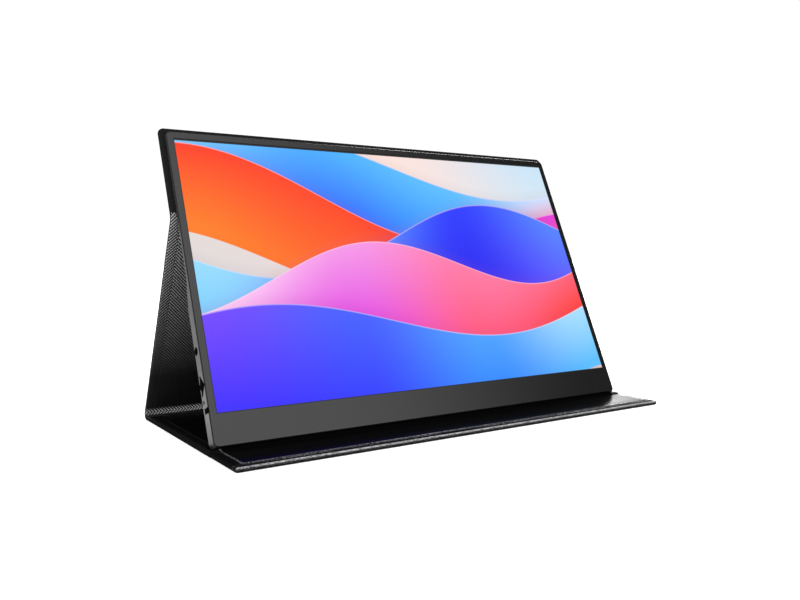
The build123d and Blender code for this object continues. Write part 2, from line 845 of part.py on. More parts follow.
# Power button and its switch
stem_end = -half_width + shell_wall + button_gap + button_flange
with BuildPart() as power_button:
    with BuildSketch(section_plane.offset(-half_width - button_proud)):
        with Locations((button_depth, button_up)):
            RectangleRounded(button_width, button_height, button_corner)
    extrude(amount=button_proud + shell_wall + button_gap)
    with BuildSketch(section_plane.offset(-half_width + shell_wall + button_gap)):
        with Locations((button_depth, button_up)):
            Rectangle(button_width, button_height + 2 * button_flange)
    extrude(amount=button_flange)
finish(power_button, "power_button")

plunger_left = stem_end + button_travel + plunger_gap
with BuildPart() as power_switch:
    with BuildSketch(at_depth(board_back + power_switch_height)):
        with Locations((plunger_left + plunger_length + power_switch_length / 2, button_up)):
            Rectangle(power_switch_length, power_switch_width)
    extrude(amount=power_switch_height)
    with BuildSketch(section_plane.offset(plunger_left)):
        with Locations((board_back + power_switch_height / 2, button_up)):
            Circle(plunger_radius)
    extrude(amount=plunger_length)
finish(power_switch, "power_switch")

with BuildPart() as status_light_pipe:
    with BuildSketch(section_plane.offset(-half_width + light_recess)):
        with Locations((port_depth, light_up)):
            Circle(light_radius)
    extrude(amount=shell_wall + board_edge_gap + light_pipe_reach)
    with BuildSketch(section_plane.offset(side_board_left + light_foot_gap)):
        with Locations(((board_back + port_depth + light_radius) / 2, light_up)):
            Rectangle(port_depth + light_radius - board_back, light_foot_width)
    extrude(amount=light_foot_length)
finish(status_light_pipe, "status_light_pipe")

# Steel plates inside the thin back, facing the cover's magnets
outer_magnet = half_width - upper_magnet_edge
inner_magnet = outer_magnet - upper_magnet_pitch
upper_magnet_columns = (-outer_magnet, -inner_magnet, inner_magnet, outer_magnet)
upper_magnet_rows = (upper_magnet_row, upper_magnet_row + upper_magnet_row_pitch)
magnet_base = fold_height + mid_fold_set_back
magnet_spots = [(x, magnet_base + row) for x in upper_magnet_columns for row in upper_magnet_rows]
with BuildPart() as steel_plates:
    with BuildSketch(at_depth(thin_back)):
        with Locations(*magnet_spots):
            Rectangle(plate_size, plate_size)
    extrude(amount=plate_thickness)
finish(steel_plates, "steel_plates")

# Cover panels


def panel(plane, length, open_near, open_far, round_near=0, round_far=0):
    """A cover panel's outline: its plane, its length, which ends run into a fold, and its rounded ends."""
    return {
        "plane": plane,
        "length": length,
        "open": (open_near, open_far),
        "corners": (round_near, round_far),
    }


def sheet_of(shape, low, high, inset):
    """A sheet of a panel from height low to high, drawn in by inset at every edge but the open ends."""
    near = 0 if shape["open"][0] else inset
    far = shape["length"] if shape["open"][1] else shape["length"] - inset
    with BuildPart() as sheet:
        with BuildSketch(shape["plane"].offset(low)) as outline:
            with Locations((0, (near + far) / 2)):
                Rectangle(cover_width - 2 * inset, far - near)
            rows = outline.vertices().group_by(Axis.Y)
            for row, radius in ((rows[0], shape["corners"][0]), (rows[-1], shape["corners"][1])):
                if radius > 0:
                    fillet(row, radius=max(radius - inset, sheet_corner))
        extrude(amount=high - low)
    return sheet


def band_of(shape, low, high, width):
    """A band this wide along the closed edges of a panel, from height low to high."""
    with BuildPart() as band:
        add(sheet_of(shape, low, high, 0).part)
        add(sheet_of(shape, low - past, high + past, width).part, mode=Mode.SUBTRACT)
    return band


def binding_of(shape, thickness):
    """The turned edge of the skin: a thin wall round a panel's closed edges, and a flat hem over it."""
    with BuildPart() as turned:
        add(band_of(shape, skin_thickness, thickness, binding_width).part)
        add(band_of(shape, thickness - lining_thickness, thickness, hem_width).part)
    return turned


def bevelled(piece, edge, direction, top):
    """A panel's piece, its upper edge bevelled beside the crease so that the two panels can fold."""
    with BuildPart() as cut:
        add(piece.part)
        with BuildSketch(side_plane):
            with BuildLine():
                Polyline(
                    placed((edge, top - crease_bevel)),
                    placed((edge + (crease_bevel + past) * direction, top + past)),
                    placed((edge, top + past)),
                    close=True,
                )
            make_face()
        extrude(amount=cover_width, both=True, mode=Mode.SUBTRACT)
    return cut


def with_pockets(piece, plane, top, spots):
    """A board with open pockets for its magnets."""
    with BuildPart() as cut:
        add(piece.part)
        with BuildSketch(plane.offset(top - magnet_thickness)):
            with Locations(*spots):
                Circle(magnet_radius + sheet_gap)
        extrude(amount=magnet_thickness + past, mode=Mode.SUBTRACT)
    return cut


def magnets_of(plane, top, spots):
    """Disc magnets flush with the top of their board."""
    with BuildPart() as discs:
        with BuildSketch(plane.offset(top - magnet_thickness)):
            with Locations(*spots):
                Circle(magnet_radius)
        extrude(amount=magnet_thickness)
    return discs


def across(points, half):
    """A side-view outline run across the cover, half to each side."""
    with BuildPart() as run:
        with BuildSketch(side_plane):
            with BuildLine():
                Polyline(*[placed(point) for point in points], close=True)
            make_face()
        extrude(amount=half, both=True)
    return run


board_inset = binding_width + sheet_gap
lining_inset = hem_width + sheet_gap
upper_board_top = upper_thickness - lining_thickness
leg_board_top = leg_thickness - lining_thickness
base_board_top = base_thickness - lining_thickness
flap_board_top = flap_thickness - lining_thickness

# Upper panel, held on the monitor's back by its magnets
upper = panel(upper_plane, upper_panel_length, True, False, round_far=cover_corner)
upper_magnet_spots = [(x, row) for x in upper_magnet_columns for row in upper_magnet_rows]
finish(sheet_of(upper, 0, skin_thickness, 0), "upper_skin")
finish(binding_of(upper, upper_thickness), "upper_binding")
finish(sheet_of(upper, upper_board_top, upper_thickness, lining_inset), "upper_lining")
upper_sheet = sheet_of(upper, skin_thickness, upper_board_top, board_inset)
finish(with_pockets(upper_sheet, upper_plane, upper_board_top, upper_magnet_spots), "upper_board")
finish(magnets_of(upper_plane, upper_board_top, upper_magnet_spots), "upper_magnets")

# Leg panel
leg = panel(leg_plane, leg_panel_length, True, True)
finish(sheet_of(leg, 0, skin_thickness, 0), "leg_skin")
finish(binding_of(leg, leg_thickness), "leg_binding")
finish(sheet_of(leg, leg_board_top, leg_thickness, lining_inset), "leg_lining")
finish(sheet_of(leg, skin_thickness, leg_board_top, board_inset), "leg_board")

# Base panel and spine share one skin; the seat groove is near the front edge
floor = panel(base_plane, spine_rear - seat_lip_front, True, True)
base = panel(base_plane, base_rear - seat_lip_front, False, True)
base_sides = panel(base_plane, base_rear - seat_lip_front, True, True)
spine = panel(spine_plane, spine_width, True, True)
crease_and_spine = panel(panel_plane((base_rear, 0), (1, 0)), spine_rear - base_rear, True, True)
groove_wall_rear = seat_groove_rear + lining_thickness
lip_wall_front = seat_lip_rear - lining_thickness
strip_front = seat_lip_front + board_inset
board_half = cover_width / 2 - board_inset
lining_half = cover_width / 2 - lining_inset
finish(sheet_of(floor, 0, skin_thickness, 0), "base_skin")

with BuildPart() as base_edge:
    add(band_of(base, skin_thickness, base_thickness, binding_width).part)
    add(band_of(base_sides, base_board_top, base_thickness, hem_width).part)
    # the hem leaves the seat groove open
    with BuildSketch(base_plane.offset(base_board_top)):
        with Locations((0, (lip_wall_front + groove_wall_rear) / 2 - seat_lip_front)):
            Rectangle(cover_width - 2 * binding_width, groove_wall_rear - lip_wall_front)
    extrude(amount=lining_thickness + past, mode=Mode.SUBTRACT)

with BuildPart() as base_binding:
    add(bevelled(base_edge, seat_lip_front, 1, base_thickness).part)
    add(binding_of(crease_and_spine, leg_thickness).part)
finish(base_binding, "base_binding")

base_board = across(
    [
        (groove_wall_rear, skin_thickness),
        (base_rear, skin_thickness),
        (base_rear, base_board_top),
        (groove_wall_rear, base_board_top),
    ],
    board_half,
)
finish(base_board, "base_board")

seat_lip_strip = across(
    [
        (strip_front, skin_thickness),
        (lip_wall_front, skin_thickness),
        (lip_wall_front, base_board_top),
        (strip_front, base_board_top),
    ],
    board_half,
)
finish(seat_lip_strip, "seat_lip_strip")

# The lining fills the seat groove from wall to wall, and lies between the hems on the lip and the panel.
groove_lining = across(
    [
        (lip_wall_front, skin_thickness),
        (groove_wall_rear, skin_thickness),
        (groove_wall_rear, base_thickness),
        (seat_groove_rear, base_thickness),
        (seat_groove_rear, groove_floor),
        (seat_lip_rear, groove_floor),
        (seat_lip_rear, base_thickness),
        (lip_wall_front, base_thickness),
    ],
    board_half,
)
with BuildPart() as base_lining:
    add(groove_lining.part)
    for near, far in ((strip_front, lip_wall_front), (groove_wall_rear, base_rear)):
        top_sheet = across(
            [(near, base_board_top), (far, base_board_top), (far, base_thickness), (near, base_thickness)],
            lining_half,
        )
        add(top_sheet.part)
finish(bevelled(base_lining, seat_lip_front, 1, base_thickness), "base_lining")
finish(sheet_of(spine, skin_thickness, leg_board_top, board_inset), "spine_board")
finish(sheet_of(crease_and_spine, leg_board_top, leg_thickness, lining_inset), "spine_lining")

# Front flap
flap = panel(flap_plane, flap_depth, False, True, round_near=cover_corner)
outer_flap_magnet = half_width - flap_magnet_edge
inner_flap_magnet = outer_flap_magnet - flap_magnet_pitch
flap_magnet_columns = (-outer_flap_magnet, -inner_flap_magnet, inner_flap_magnet, outer_flap_magnet)
flap_magnet_spots = [(x, flap_depth / 2) for x in flap_magnet_columns]
finish(sheet_of(flap, 0, skin_thickness, 0), "flap_skin")
finish(bevelled(binding_of(flap, flap_thickness), crease_front, -1, flap_thickness), "flap_binding")
flap_lining = sheet_of(flap, flap_board_top, flap_thickness, lining_inset)
finish(bevelled(flap_lining, crease_front, -1, flap_thickness), "flap_lining")
flap_sheet = bevelled(
    sheet_of(flap, skin_thickness, flap_board_top, board_inset), crease_front, -1, flap_thickness
)
finish(with_pockets(flap_sheet, flap_plane, flap_board_top, flap_magnet_spots), "flap_board")
finish(magnets_of(flap_plane, flap_board_top, flap_magnet_spots), "flap_magnets")

# Flexible strips at the folds


def bent_strip(centre, inner, outer, start_angle, sweep):
    """A strip bent round a centre, from one panel's end to the other's."""
    with BuildPart() as strip:
        with BuildSketch(side_plane):
            with BuildLine():
                far = CenterArc(placed(centre), outer, start_angle, sweep)
                near = CenterArc(placed(centre), inner, start_angle, sweep)
                Line(far @ 0, near @ 0)
                Line(far @ 1, near @ 1)
            make_face()
        extrude(amount=cover_width / 2, both=True)
    return strip


# At the rear fold skin and lining stay together, as thick as the leg.
rear_centre = (spine_rear, rear_bend_radius)
finish(
    bent_strip(rear_centre, rear_bend_radius - leg_thickness, rear_bend_radius, -90, degrees(rear_turn)),
    "rear_fold_strip",
)

upper_end = along(mid_corner, (face_up, mid_fold_set_back))
mid_centre = along(upper_end, (face_back, mid_bend_radius))
upper_end_angle = degrees(atan2(-face_back[1], -face_back[0]))
finish(
    bent_strip(
        mid_centre, mid_bend_radius, mid_bend_radius + strip_thickness, upper_end_angle, degrees(mid_turn)
    ),
    "mid_fold_strip",
)

crease_strip = across(
    [
        (crease_front, 0),
        (seat_lip_front, 0),
        (seat_lip_front, strip_thickness),
        (crease_front, strip_thickness),
    ],
    cover_width / 2,
)
finish(crease_strip, "crease_strip")

# Hinge lines of the folds


def hinge_height(set_back, middle_radius, turn):
    """How far inside the outer faces a hinge line lies, so that laid flat its strip keeps its length."""
    return (set_back - middle_radius * turn / 2) / tan(turn / 2)


rear_height = hinge_height(rear_set_back, rear_bend_radius - strip_thickness / 2, rear_turn)
rear_axis = (rear_corner[0] - rear_height / tan(rear_interior / 2), rear_height)
mid_height = hinge_height(mid_fold_set_back, mid_bend_radius + strip_thickness / 2, mid_turn)
mid_axis = along(mid_corner, (face_back, mid_height), (face_up, mid_height * tan(mid_turn / 2)))
crease_axis = ((crease_front + seat_lip_front) / 2, strip_thickness / 2)
for name, line in (("rear fold", rear_axis), ("mid fold", mid_axis), ("front crease", crease_axis)):
    print(name, "hinge line at y, z:", [round(value, 3) for value in placed(line)])
for name, x, up, depth in (
    ("dial axle", dial_x, dial_up, dial_depth),
    ("power button", -half_width, button_up, button_depth),
    ("headphone socket", -half_width, jack_up, port_depth),
    ("lower USB-C socket", half_width, usb_heights[0], socket_depth),
    ("upper USB-C socket", half_width, usb_heights[1], socket_depth),
    ("mini HDMI socket", half_width, hdmi_up, socket_depth),
):
    spot = placed(along((0, seat_height), (face_up, up), (face_back, depth)))
    print(name, "at", [round(value, 3) for value in (x, *spot)])
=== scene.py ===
from math import atan2, cos, pi, radians, sin, tan

import bmesh
import bpy
from mathutils import Matrix, Vector


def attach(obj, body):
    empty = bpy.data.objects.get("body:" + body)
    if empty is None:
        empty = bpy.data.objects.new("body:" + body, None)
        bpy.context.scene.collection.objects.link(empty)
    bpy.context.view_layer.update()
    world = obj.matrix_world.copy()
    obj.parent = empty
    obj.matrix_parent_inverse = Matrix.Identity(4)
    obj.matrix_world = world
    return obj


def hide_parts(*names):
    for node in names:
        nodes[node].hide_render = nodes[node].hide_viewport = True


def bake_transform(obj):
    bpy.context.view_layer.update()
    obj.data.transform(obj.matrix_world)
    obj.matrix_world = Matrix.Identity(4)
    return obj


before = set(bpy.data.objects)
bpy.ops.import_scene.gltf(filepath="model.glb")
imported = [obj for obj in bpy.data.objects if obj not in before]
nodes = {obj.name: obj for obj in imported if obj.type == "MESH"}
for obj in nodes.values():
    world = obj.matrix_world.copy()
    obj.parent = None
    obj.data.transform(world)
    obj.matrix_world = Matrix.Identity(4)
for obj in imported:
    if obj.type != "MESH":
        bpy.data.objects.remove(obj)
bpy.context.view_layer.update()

# Sizes of the real pieces, in metres
mm = 0.001
lean = radians(23.75)
leg_angle = radians(66.28)
monitor_width = 353.6 * mm
monitor_height = 219.4 * mm
screen_width = 344.2 * mm
screen_height = 193.6 * mm
bezel_bottom = 20.6 * mm
thin_depth = 4.2 * mm
seat_height = 5.3275 * mm
behind_monitor = 0.2 * mm
above_monitor = 5.0 * mm
cover_width = 360.8 * mm
upper_panel_height = 68.5 * mm
upper_thickness = 2.6 * mm
leg_thickness = 2.8 * mm
base_thickness = 4.1 * mm
flap_thickness = 3.3 * mm
rear_bend_radius = 4.1 * mm
mid_set_back = 3.0 * mm
hem_width = 6.5 * mm
cover_corner = 4.5 * mm
flap_corner = 2.0 * mm
bed = 0.6 * mm
rim = 1.1 * mm
flap_rim = 1.5 * mm
bed_rim = 0.3 * mm
lining_rim = 0.35 * mm
lining_gap = 0.15 * mm
twill_rise = 0.04 * mm
flap_depth = 36.4 * mm
crease_width = 3.6 * mm
crease_steps = 8
rear_fold_steps = 18
mid_fold_steps = 12
lip_front = -1.0 * mm
lip_rear = 1.8 * mm
groove_rear = 10.6 * mm
groove_floor = 1.6 * mm
spine_width = 9.0 * mm
spine_crease = 1.5 * mm
twill_period = 2.3 * mm
dial_up = 39.8 * mm
dial_depth = 6.2 * mm
dial_slot_length = 13.5 * mm
scoop_depth_centre = 4.9 * mm
scoop_width = 7.4 * mm
light_up = 29.4 * mm
light_depth = 5.8 * mm
button_up = 23.8 * mm

# Places and angles that differ by less than this are the same
same = 1e-6
same_angle = 1e-4

# The side view, as (y, z) points with y = 0 at the screen face's bottom edge
face_up = (sin(lean), cos(lean))
face_back = (cos(lean), -sin(lean))
monitor_tilt = pi / 2 - lean
fold_height = monitor_height + above_monitor - upper_panel_height
outer_depth = thin_depth + behind_monitor + upper_thickness
mid_corner = (
    face_up[0] * fold_height + face_back[0] * outer_depth,
    seat_height + face_up[1] * fold_height + face_back[1] * outer_depth,
)
leg_length = mid_corner[1] / sin(leg_angle)
leg_up = (-cos(leg_angle), sin(leg_angle))
rear_corner = (mid_corner[0] + leg_length * cos(leg_angle), 0)
rear_set_back = rear_bend_radius / tan(leg_angle / 2)
rear_turn = pi - leg_angle
mid_turn = rear_turn - monitor_tilt
mid_bend_radius = mid_set_back / tan(mid_turn / 2)
spine_rear = rear_corner[0] - rear_set_back
base_rear = spine_rear - spine_width - spine_crease
spine_front = base_rear + 1.2 * mm
crease_front = lip_front - crease_width
front_edge = crease_front - flap_depth
shift = -(front_edge + spine_rear + rear_bend_radius) / 2
leg_start = (rear_corner[0] + leg_up[0] * rear_set_back, leg_up[1] * rear_set_back)
leg_panel_length = leg_length - rear_set_back - mid_set_back
upper_start = (
    mid_corner[0] + face_up[0] * mid_set_back,
    mid_corner[1] + face_up[1] * mid_set_back,
)
upper_panel_length = upper_panel_height - mid_set_back
leg_end = (
    leg_start[0] + leg_up[0] * leg_panel_length,
    leg_start[1] + leg_up[1] * leg_panel_length,
)

bpy.ops.object.select_all(action="DESELECT")

# Making and editing


def take(piece):
    """Select one piece and nothing else."""
    bpy.ops.object.select_all(action="DESELECT")
    bpy.context.view_layer.objects.active = piece
    piece.select_set(True)


def edit(piece):
    """Open one piece for editing."""
    take(piece)
    bpy.ops.object.mode_set(mode="EDIT")


def done():
    bpy.ops.object.mode_set(mode="OBJECT")


def pick(kind, wanted):
    """Select the edited piece's faces, edges or corners that wanted() says yes to."""
    mesh = bmesh.from_edit_mesh(bpy.context.edit_object.data)
    mesh.normal_update()
    bpy.ops.mesh.select_mode(type=kind)
    bpy.ops.mesh.select_all(action="DESELECT")
    group = {"FACE": mesh.faces, "EDGE": mesh.edges, "VERT": mesh.verts}[kind]
    for element in group:
        if wanted(element):
            element.select_set(True)
    mesh.select_flush_mode()
    bmesh.update_edit_mesh(bpy.context.edit_object.data)


def middle(edge):
    return (edge.verts[0].co + edge.verts[1].co) / 2


def level(edge, height):
    """Is this edge flat at this height?"""
    return all(abs(corner.co.z - height) < same for corner in edge.verts)


def lengthwise(edge):
    """Does this edge run across the whole cover?"""
    return abs(edge.verts[0].co.x - edge.verts[1].co.x) > cover_width / 2


def slab(name, width, near, far, low, high):
    """A plate across the cover, from near to far along it."""
    bpy.ops.mesh.primitive_cube_add(size=1, location=(0, (near + far) / 2, (low + high) / 2))
    piece = bpy.context.object
    piece.name = name
    piece.scale = (width, far - near, high - low)
    bpy.ops.object.transform_apply(location=True, rotation=True, scale=True)
    return piece


def trim(at, outward):
    """Cut the edited piece off square at a place along it, and close the cut."""
    bpy.ops.mesh.select_all(action="SELECT")
    bpy.ops.mesh.bisect(
        plane_co=(0, at, 0), plane_no=(0, outward, 0), use_fill=True, clear_outer=True
    )


def score(at):
    """Add a line of corners across the edited piece."""
    bpy.ops.mesh.select_all(action="SELECT")
    bpy.ops.mesh.bisect(plane_co=(0, at, 0), plane_no=(0, 1, 0))


def round_corners(ends, radius):
    """Round the upright outer corners at these ends of the edited plate."""
    pick(
        "EDGE",
        lambda edge: abs(edge.verts[0].co.z - edge.verts[1].co.z) > same
        and abs(abs(middle(edge).x) - cover_width / 2) < same
        and any(abs(middle(edge).y - end) < same for end in ends),
    )
    bpy.ops.mesh.bevel(offset=radius, offset_type="OFFSET", segments=10, affect="EDGES")


def wall_beside(edge, outside):
    """Does an upright wall of the outside, or of the lining's bed, meet this edge?"""
    return any(
        abs(face.normal.z) < 0.1 and (face.normal.dot(face.calc_center_median()) > 0) == outside
        for face in edge.link_faces
    )


def leather_wrap(
    name, near, far, thickness, open_near=False, open_far=False, edge_rim=rim, corner=cover_corner
):
    """Leather turned over a panel's edges: the hem is on top and the lining's bed inside it.

    An open end has no hem: the leather goes on there, into a fold or the next panel.
    """
    spare = 2 * hem_width
    start = near - spare if open_near else near
    end = far + spare if open_far else far
    half_length = (end - start) / 2
    piece = slab(name, cover_width, -half_length, half_length, 0, thickness)
    edit(piece)
    pick("FACE", lambda face: face.normal.z > 0.99)
    bpy.ops.mesh.inset(thickness=hem_width)
    bpy.ops.mesh.extrude_region_move(TRANSFORM_OT_translate={"value": (0, 0, -bed)})
    ends = []
    if not open_near:
        ends.append(-half_length)
    if not open_far:
        ends.append(half_length)
    if ends:
        round_corners(ends, corner)
    pick(
        "EDGE",
        lambda edge: (level(edge, 0) or level(edge, thickness))
        and wall_beside(edge, outside=True),
    )
    bpy.ops.mesh.bevel(offset=edge_rim, offset_type="OFFSET", segments=5, affect="EDGES")
    pick("EDGE", lambda edge: level(edge, thickness) and wall_beside(edge, outside=False))
    bpy.ops.mesh.bevel(offset=bed_rim, offset_type="OFFSET", segments=3, affect="EDGES")
    bpy.ops.mesh.select_all(action="SELECT")
    bpy.ops.transform.translate(value=(0, start + half_length, 0))
    if open_near:
        trim(near, -1)
    if open_far:
        trim(far, 1)
    done()
    return piece


def lining_sheet(name, near, far, low, high, inset_near, inset_far, edge_rim=lining_rim):
    """A lining laid in its bed. Its sides and the ends that are set in are softly rounded."""
    half = cover_width / 2 - hem_width - lining_gap
    near, far = near + inset_near, far - inset_far
    piece = slab(name, 2 * half, near, far, low, high)
    edit(piece)
    closed = [end for end, inset in ((near, inset_near), (far, inset_far)) if inset]
    pick(
        "EDGE",
        lambda edge: level(edge, high)
        and (
            abs(abs(middle(edge).x) - half) < same
            or any(abs(middle(edge).y - end) < same for end in closed)
        ),
    )
    bpy.ops.mesh.bevel(offset=edge_rim, offset_type="OFFSET", segments=4, affect="EDGES")
    done()
    return piece


def place(piece, start, angle):
    """Lay a piece made flat on the plane of its panel."""
    take(piece)
    piece.rotation_euler = (angle, 0, 0)
    piece.location = (0, start[0] + shift, start[1])
    bpy.ops.object.transform_apply(location=True, rotation=True, scale=True)


def soften(piece):
    take(piece)
    bpy.ops.object.shade_smooth_by_angle(angle=radians(35))


def unfold(piece, measure):
    """Give a piece the pattern's map: metres across, and metres along the cover as it lay flat."""
    layer = piece.data.uv_layers.active
    layer.name = "flat"
    for loop in piece.data.loops:
        layer.data[loop.index].uv = measure(piece.data.vertices[loop.vertex_index].co)


# How far along the flat cover a point lies, from the front of the base
leg_flat = spine_rear + rear_turn * (rear_bend_radius - leg_thickness)
twill_turn = leg_flat + 0.6 * mm
upper_flat = leg_flat + leg_panel_length + mid_turn * (mid_bend_radius + leg_thickness)


def flat_base(point):
    return (point.x, point.y - shift)


def flat_leg(point):
    y, z = point.y - shift - leg_start[0], point.z - leg_start[1]
    return (point.x, leg_flat + y * leg_up[0] + z * leg_up[1])


def flat_upper(point):
    y, z = point.y - shift - upper_start[0], point.z - upper_start[1]
    return (point.x, upper_flat + y * face_up[0] + z * face_up[1])


def flat_rear_fold(point):
    """Over the spine, round the rear fold and on to the leg."""
    y, z = point.y - shift - spine_rear, point.z - rear_bend_radius
    turned = atan2(y, -z)
    if y <= 0 and z < 0:
        return flat_base(point)
    if turned >= rear_turn - same_angle:
        return flat_leg(point)
    return (point.x, spine_rear + max(turned, 0) * (rear_bend_radius - leg_thickness))


mid_centre = (
    upper_start[0] + face_back[0] * mid_bend_radius,
    upper_start[1] + face_back[1] * mid_bend_radius,
)


def flat_mid_fold(point):
    """Up the leg, round the mid fold."""
    y, z = point.y - shift - leg_end[0], point.z - leg_end[1]
    along = y * leg_up[0] + z * leg_up[1]
    if along <= same:
        return flat_leg(point)
    y, z = point.y - shift - mid_centre[0], point.z - mid_centre[1]
    normal = (-leg_up[1], leg_up[0])
    turned = atan2(y * leg_up[0] + z * leg_up[1], y * normal[0] + z * normal[1])
    return (point.x, leg_flat + leg_panel_length + turned * (mid_bend_radius + leg_thickness))


def spin_end(piece, at, direction, centre, turn, steps):
    """Carry a piece on round a fold: its end face is spun about the fold's centre."""
    edit(piece)
    normal = Vector((0, direction[0], direction[1]))
    spot = Vector((0, at[0] + shift, at[1]))
    pick(
        "FACE",
        lambda face: face.normal.dot(normal) > 0.99
        and abs((face.calc_center_median() - spot).dot(normal)) < 10 * same,
    )
    bpy.ops.mesh.spin(
        steps=steps, angle=-turn, center=(0, centre[0] + shift, centre[1]), axis=(1, 0, 0)
    )
    bpy.ops.mesh.select_all(action="SELECT")
    bpy.ops.mesh.remove_doubles(threshold=same)
    bpy.ops.mesh.normals_make_consistent(inside=False)
    done()


# Cover, outer leather

# How far each line of the crease stands above the flap, from its front to its back
crease_rises = [rise * mm for rise in (-0.10, -0.25, -0.38, -0.40, -0.25, 0.05, 0.42, 0.80)]


def crease_line(step):
    return crease_front + crease_width * step / crease_steps


flap_leather = leather_wrap(
    "flap_leather", front_edge, lip_front, flap_thickness - 0.15 * mm,
    open_far=True, edge_rim=flap_rim, corner=flap_corner,
)
edit(flap_leather)
for step in range(1, crease_steps):
    score(crease_line(step))
score(crease_front)
for step, rise in enumerate(crease_rises, 1):
    line = crease_line(step)
    pick("VERT", lambda corner: abs(corner.co.y - line) < same and corner.co.z > 1.2 * mm)
    bpy.ops.transform.translate(value=(0, 0, rise))
done()
place(flap_leather, (0, 0), 0)
unfold(flap_leather, flat_base)

base_leather = leather_wrap(
    "base_leather", lip_front, spine_rear, base_thickness, open_near=True, open_far=True
)
edit(base_leather)
# Behind its panel the base steps down to the spine's thickness
score(base_rear - 0.6 * mm)
score(base_rear + 0.9 * mm)
pick("VERT", lambda corner: corner.co.y > base_rear + 0.8 * mm and corner.co.z > 1.3 * mm)
bpy.ops.transform.translate(value=(0, 0, leg_thickness - base_thickness))
done()
# The seat groove, with room for its lining
trough = slab(
    "trough", cover_width - 4 * mm, lip_rear - 0.75 * mm, groove_rear + 0.75 * mm,
    0.85 * mm, 10 * mm,
)
cut = base_leather.modifiers.new("trough", "BOOLEAN")
cut.operation = "DIFFERENCE"
cut.object = trough
bpy.context.view_layer.objects.active = base_leather
bpy.ops.object.modifier_apply(modifier=cut.name)
bpy.data.objects.remove(trough)
place(base_leather, (0, 0), 0)
rear_centre = (spine_rear, rear_bend_radius)
spin_end(base_leather, (spine_rear, 0), (1, 0), rear_centre, rear_turn, rear_fold_steps)
unfold(base_leather, flat_rear_fold)

leg_leather = leather_wrap(
    "leg_leather", 0, leg_panel_length, leg_thickness, open_near=True, open_far=True
)
place(leg_leather, leg_start, rear_turn)
spin_end(leg_leather, leg_end, leg_up, mid_centre, -mid_turn, mid_fold_steps)
unfold(leg_leather, flat_mid_fold)

upper_leather = leather_wrap(
    "upper_leather", 0, upper_panel_length, upper_thickness, open_near=True
)
place(upper_leather, upper_start, monitor_tilt)
unfold(upper_leather, flat_upper)

# Cover, linings

front_lining = lining_sheet(
    "front_lining", front_edge, lip_rear - 0.5 * mm,
    flap_thickness - bed, flap_thickness + 0.3 * mm,
    hem_width + lining_gap, 0, edge_rim=0.5 * mm,
)
edit(front_lining)
for step in range(crease_steps + 1):
    score(crease_line(step))
for step, rise in enumerate(crease_rises, 1):
    line = crease_line(step)
    last = step == crease_steps
    pick(
        "VERT",
        lambda corner: abs(corner.co.y - line) < same or last and corner.co.y > line,
    )
    bpy.ops.transform.translate(value=(0, 0, rise))
done()
place(front_lining, (0, 0), 0)
unfold(front_lining, flat_base)

base_lining = lining_sheet(
    "base_lining_sheet", groove_rear, base_rear - 0.3 * mm, base_thickness - bed,
    base_thickness - 0.04 * mm, 0.4 * mm, 0.01 * mm,
)
bpy.ops.mesh.primitive_plane_add(size=1, location=(0, (lip_rear + groove_rear) / 2, groove_floor))
groove_lining = bpy.context.object
groove_lining.scale = (cover_width - 4.4 * mm, groove_rear - lip_rear, 1)
bpy.ops.object.transform_apply(location=True, rotation=True, scale=True)
edit(groove_lining)
for end in (lip_rear, groove_rear):
    pick("EDGE", lambda edge: abs(middle(edge).y - end) < same and lengthwise(edge))
    bpy.ops.mesh.extrude_region_move(
        TRANSFORM_OT_translate={"value": (0, 0, base_thickness - groove_floor - 0.05 * mm)}
    )
pick("EDGE", lambda edge: level(edge, groove_floor) and lengthwise(edge))
bpy.ops.mesh.bevel(offset=0.5 * mm, offset_type="OFFSET", segments=4, affect="EDGES")
bpy.ops.mesh.select_all(action="SELECT")
bpy.ops.mesh.normals_make_consistent(inside=False)
done()
wall = groove_lining.modifiers.new("wall", "SOLIDIFY")
wall.thickness = 0.6 * mm
wall.offset = 1
bpy.ops.object.modifier_apply(modifier=wall.name)
bpy.ops.object.select_all(action="DESELECT")
groove_lining.select_set(True)
base_lining.select_set(True)
bpy.context.view_layer.objects.active = base_lining
bpy.ops.object.join()
place(base_lining, (0, 0), 0)
unfold(base_lining, flat_base)

spine_twill = lining_sheet(
    "spine_twill", spine_front, spine_rear, leg_thickness - bed, leg_thickness + twill_rise,
    0.01 * mm, 0,
)
place(spine_twill, (0, 0), 0)
spin_end(spine_twill, (spine_rear, 0), (1, 0), rear_centre, rear_turn, rear_fold_steps)
unfold(spine_twill, flat_rear_fold)

leg_twill = lining_sheet(
    "leg_twill", 0, leg_panel_length, leg_thickness - bed, leg_thickness + twill_rise, 0, 0
)
place(leg_twill, leg_start, rear_turn)
spin_end(leg_twill, leg_end, leg_up, mid_centre, -mid_turn, mid_fold_steps)
unfold(leg_twill, flat_mid_fold)

upper_lining = lining_sheet(
    "upper_lining_sheet", 0, upper_panel_length,
    upper_thickness - bed, upper_thickness + 0.02 * mm,
    0, hem_width + lining_gap,
)
place(upper_lining, upper_start, monitor_tilt)
unfold(upper_lining, flat_upper)

for piece in (
    flap_leather, base_leather, leg_leather, upper_leather,
    front_lining, base_lining, spine_twill, leg_twill, upper_lining,
):
    soften(piece)

# Materials


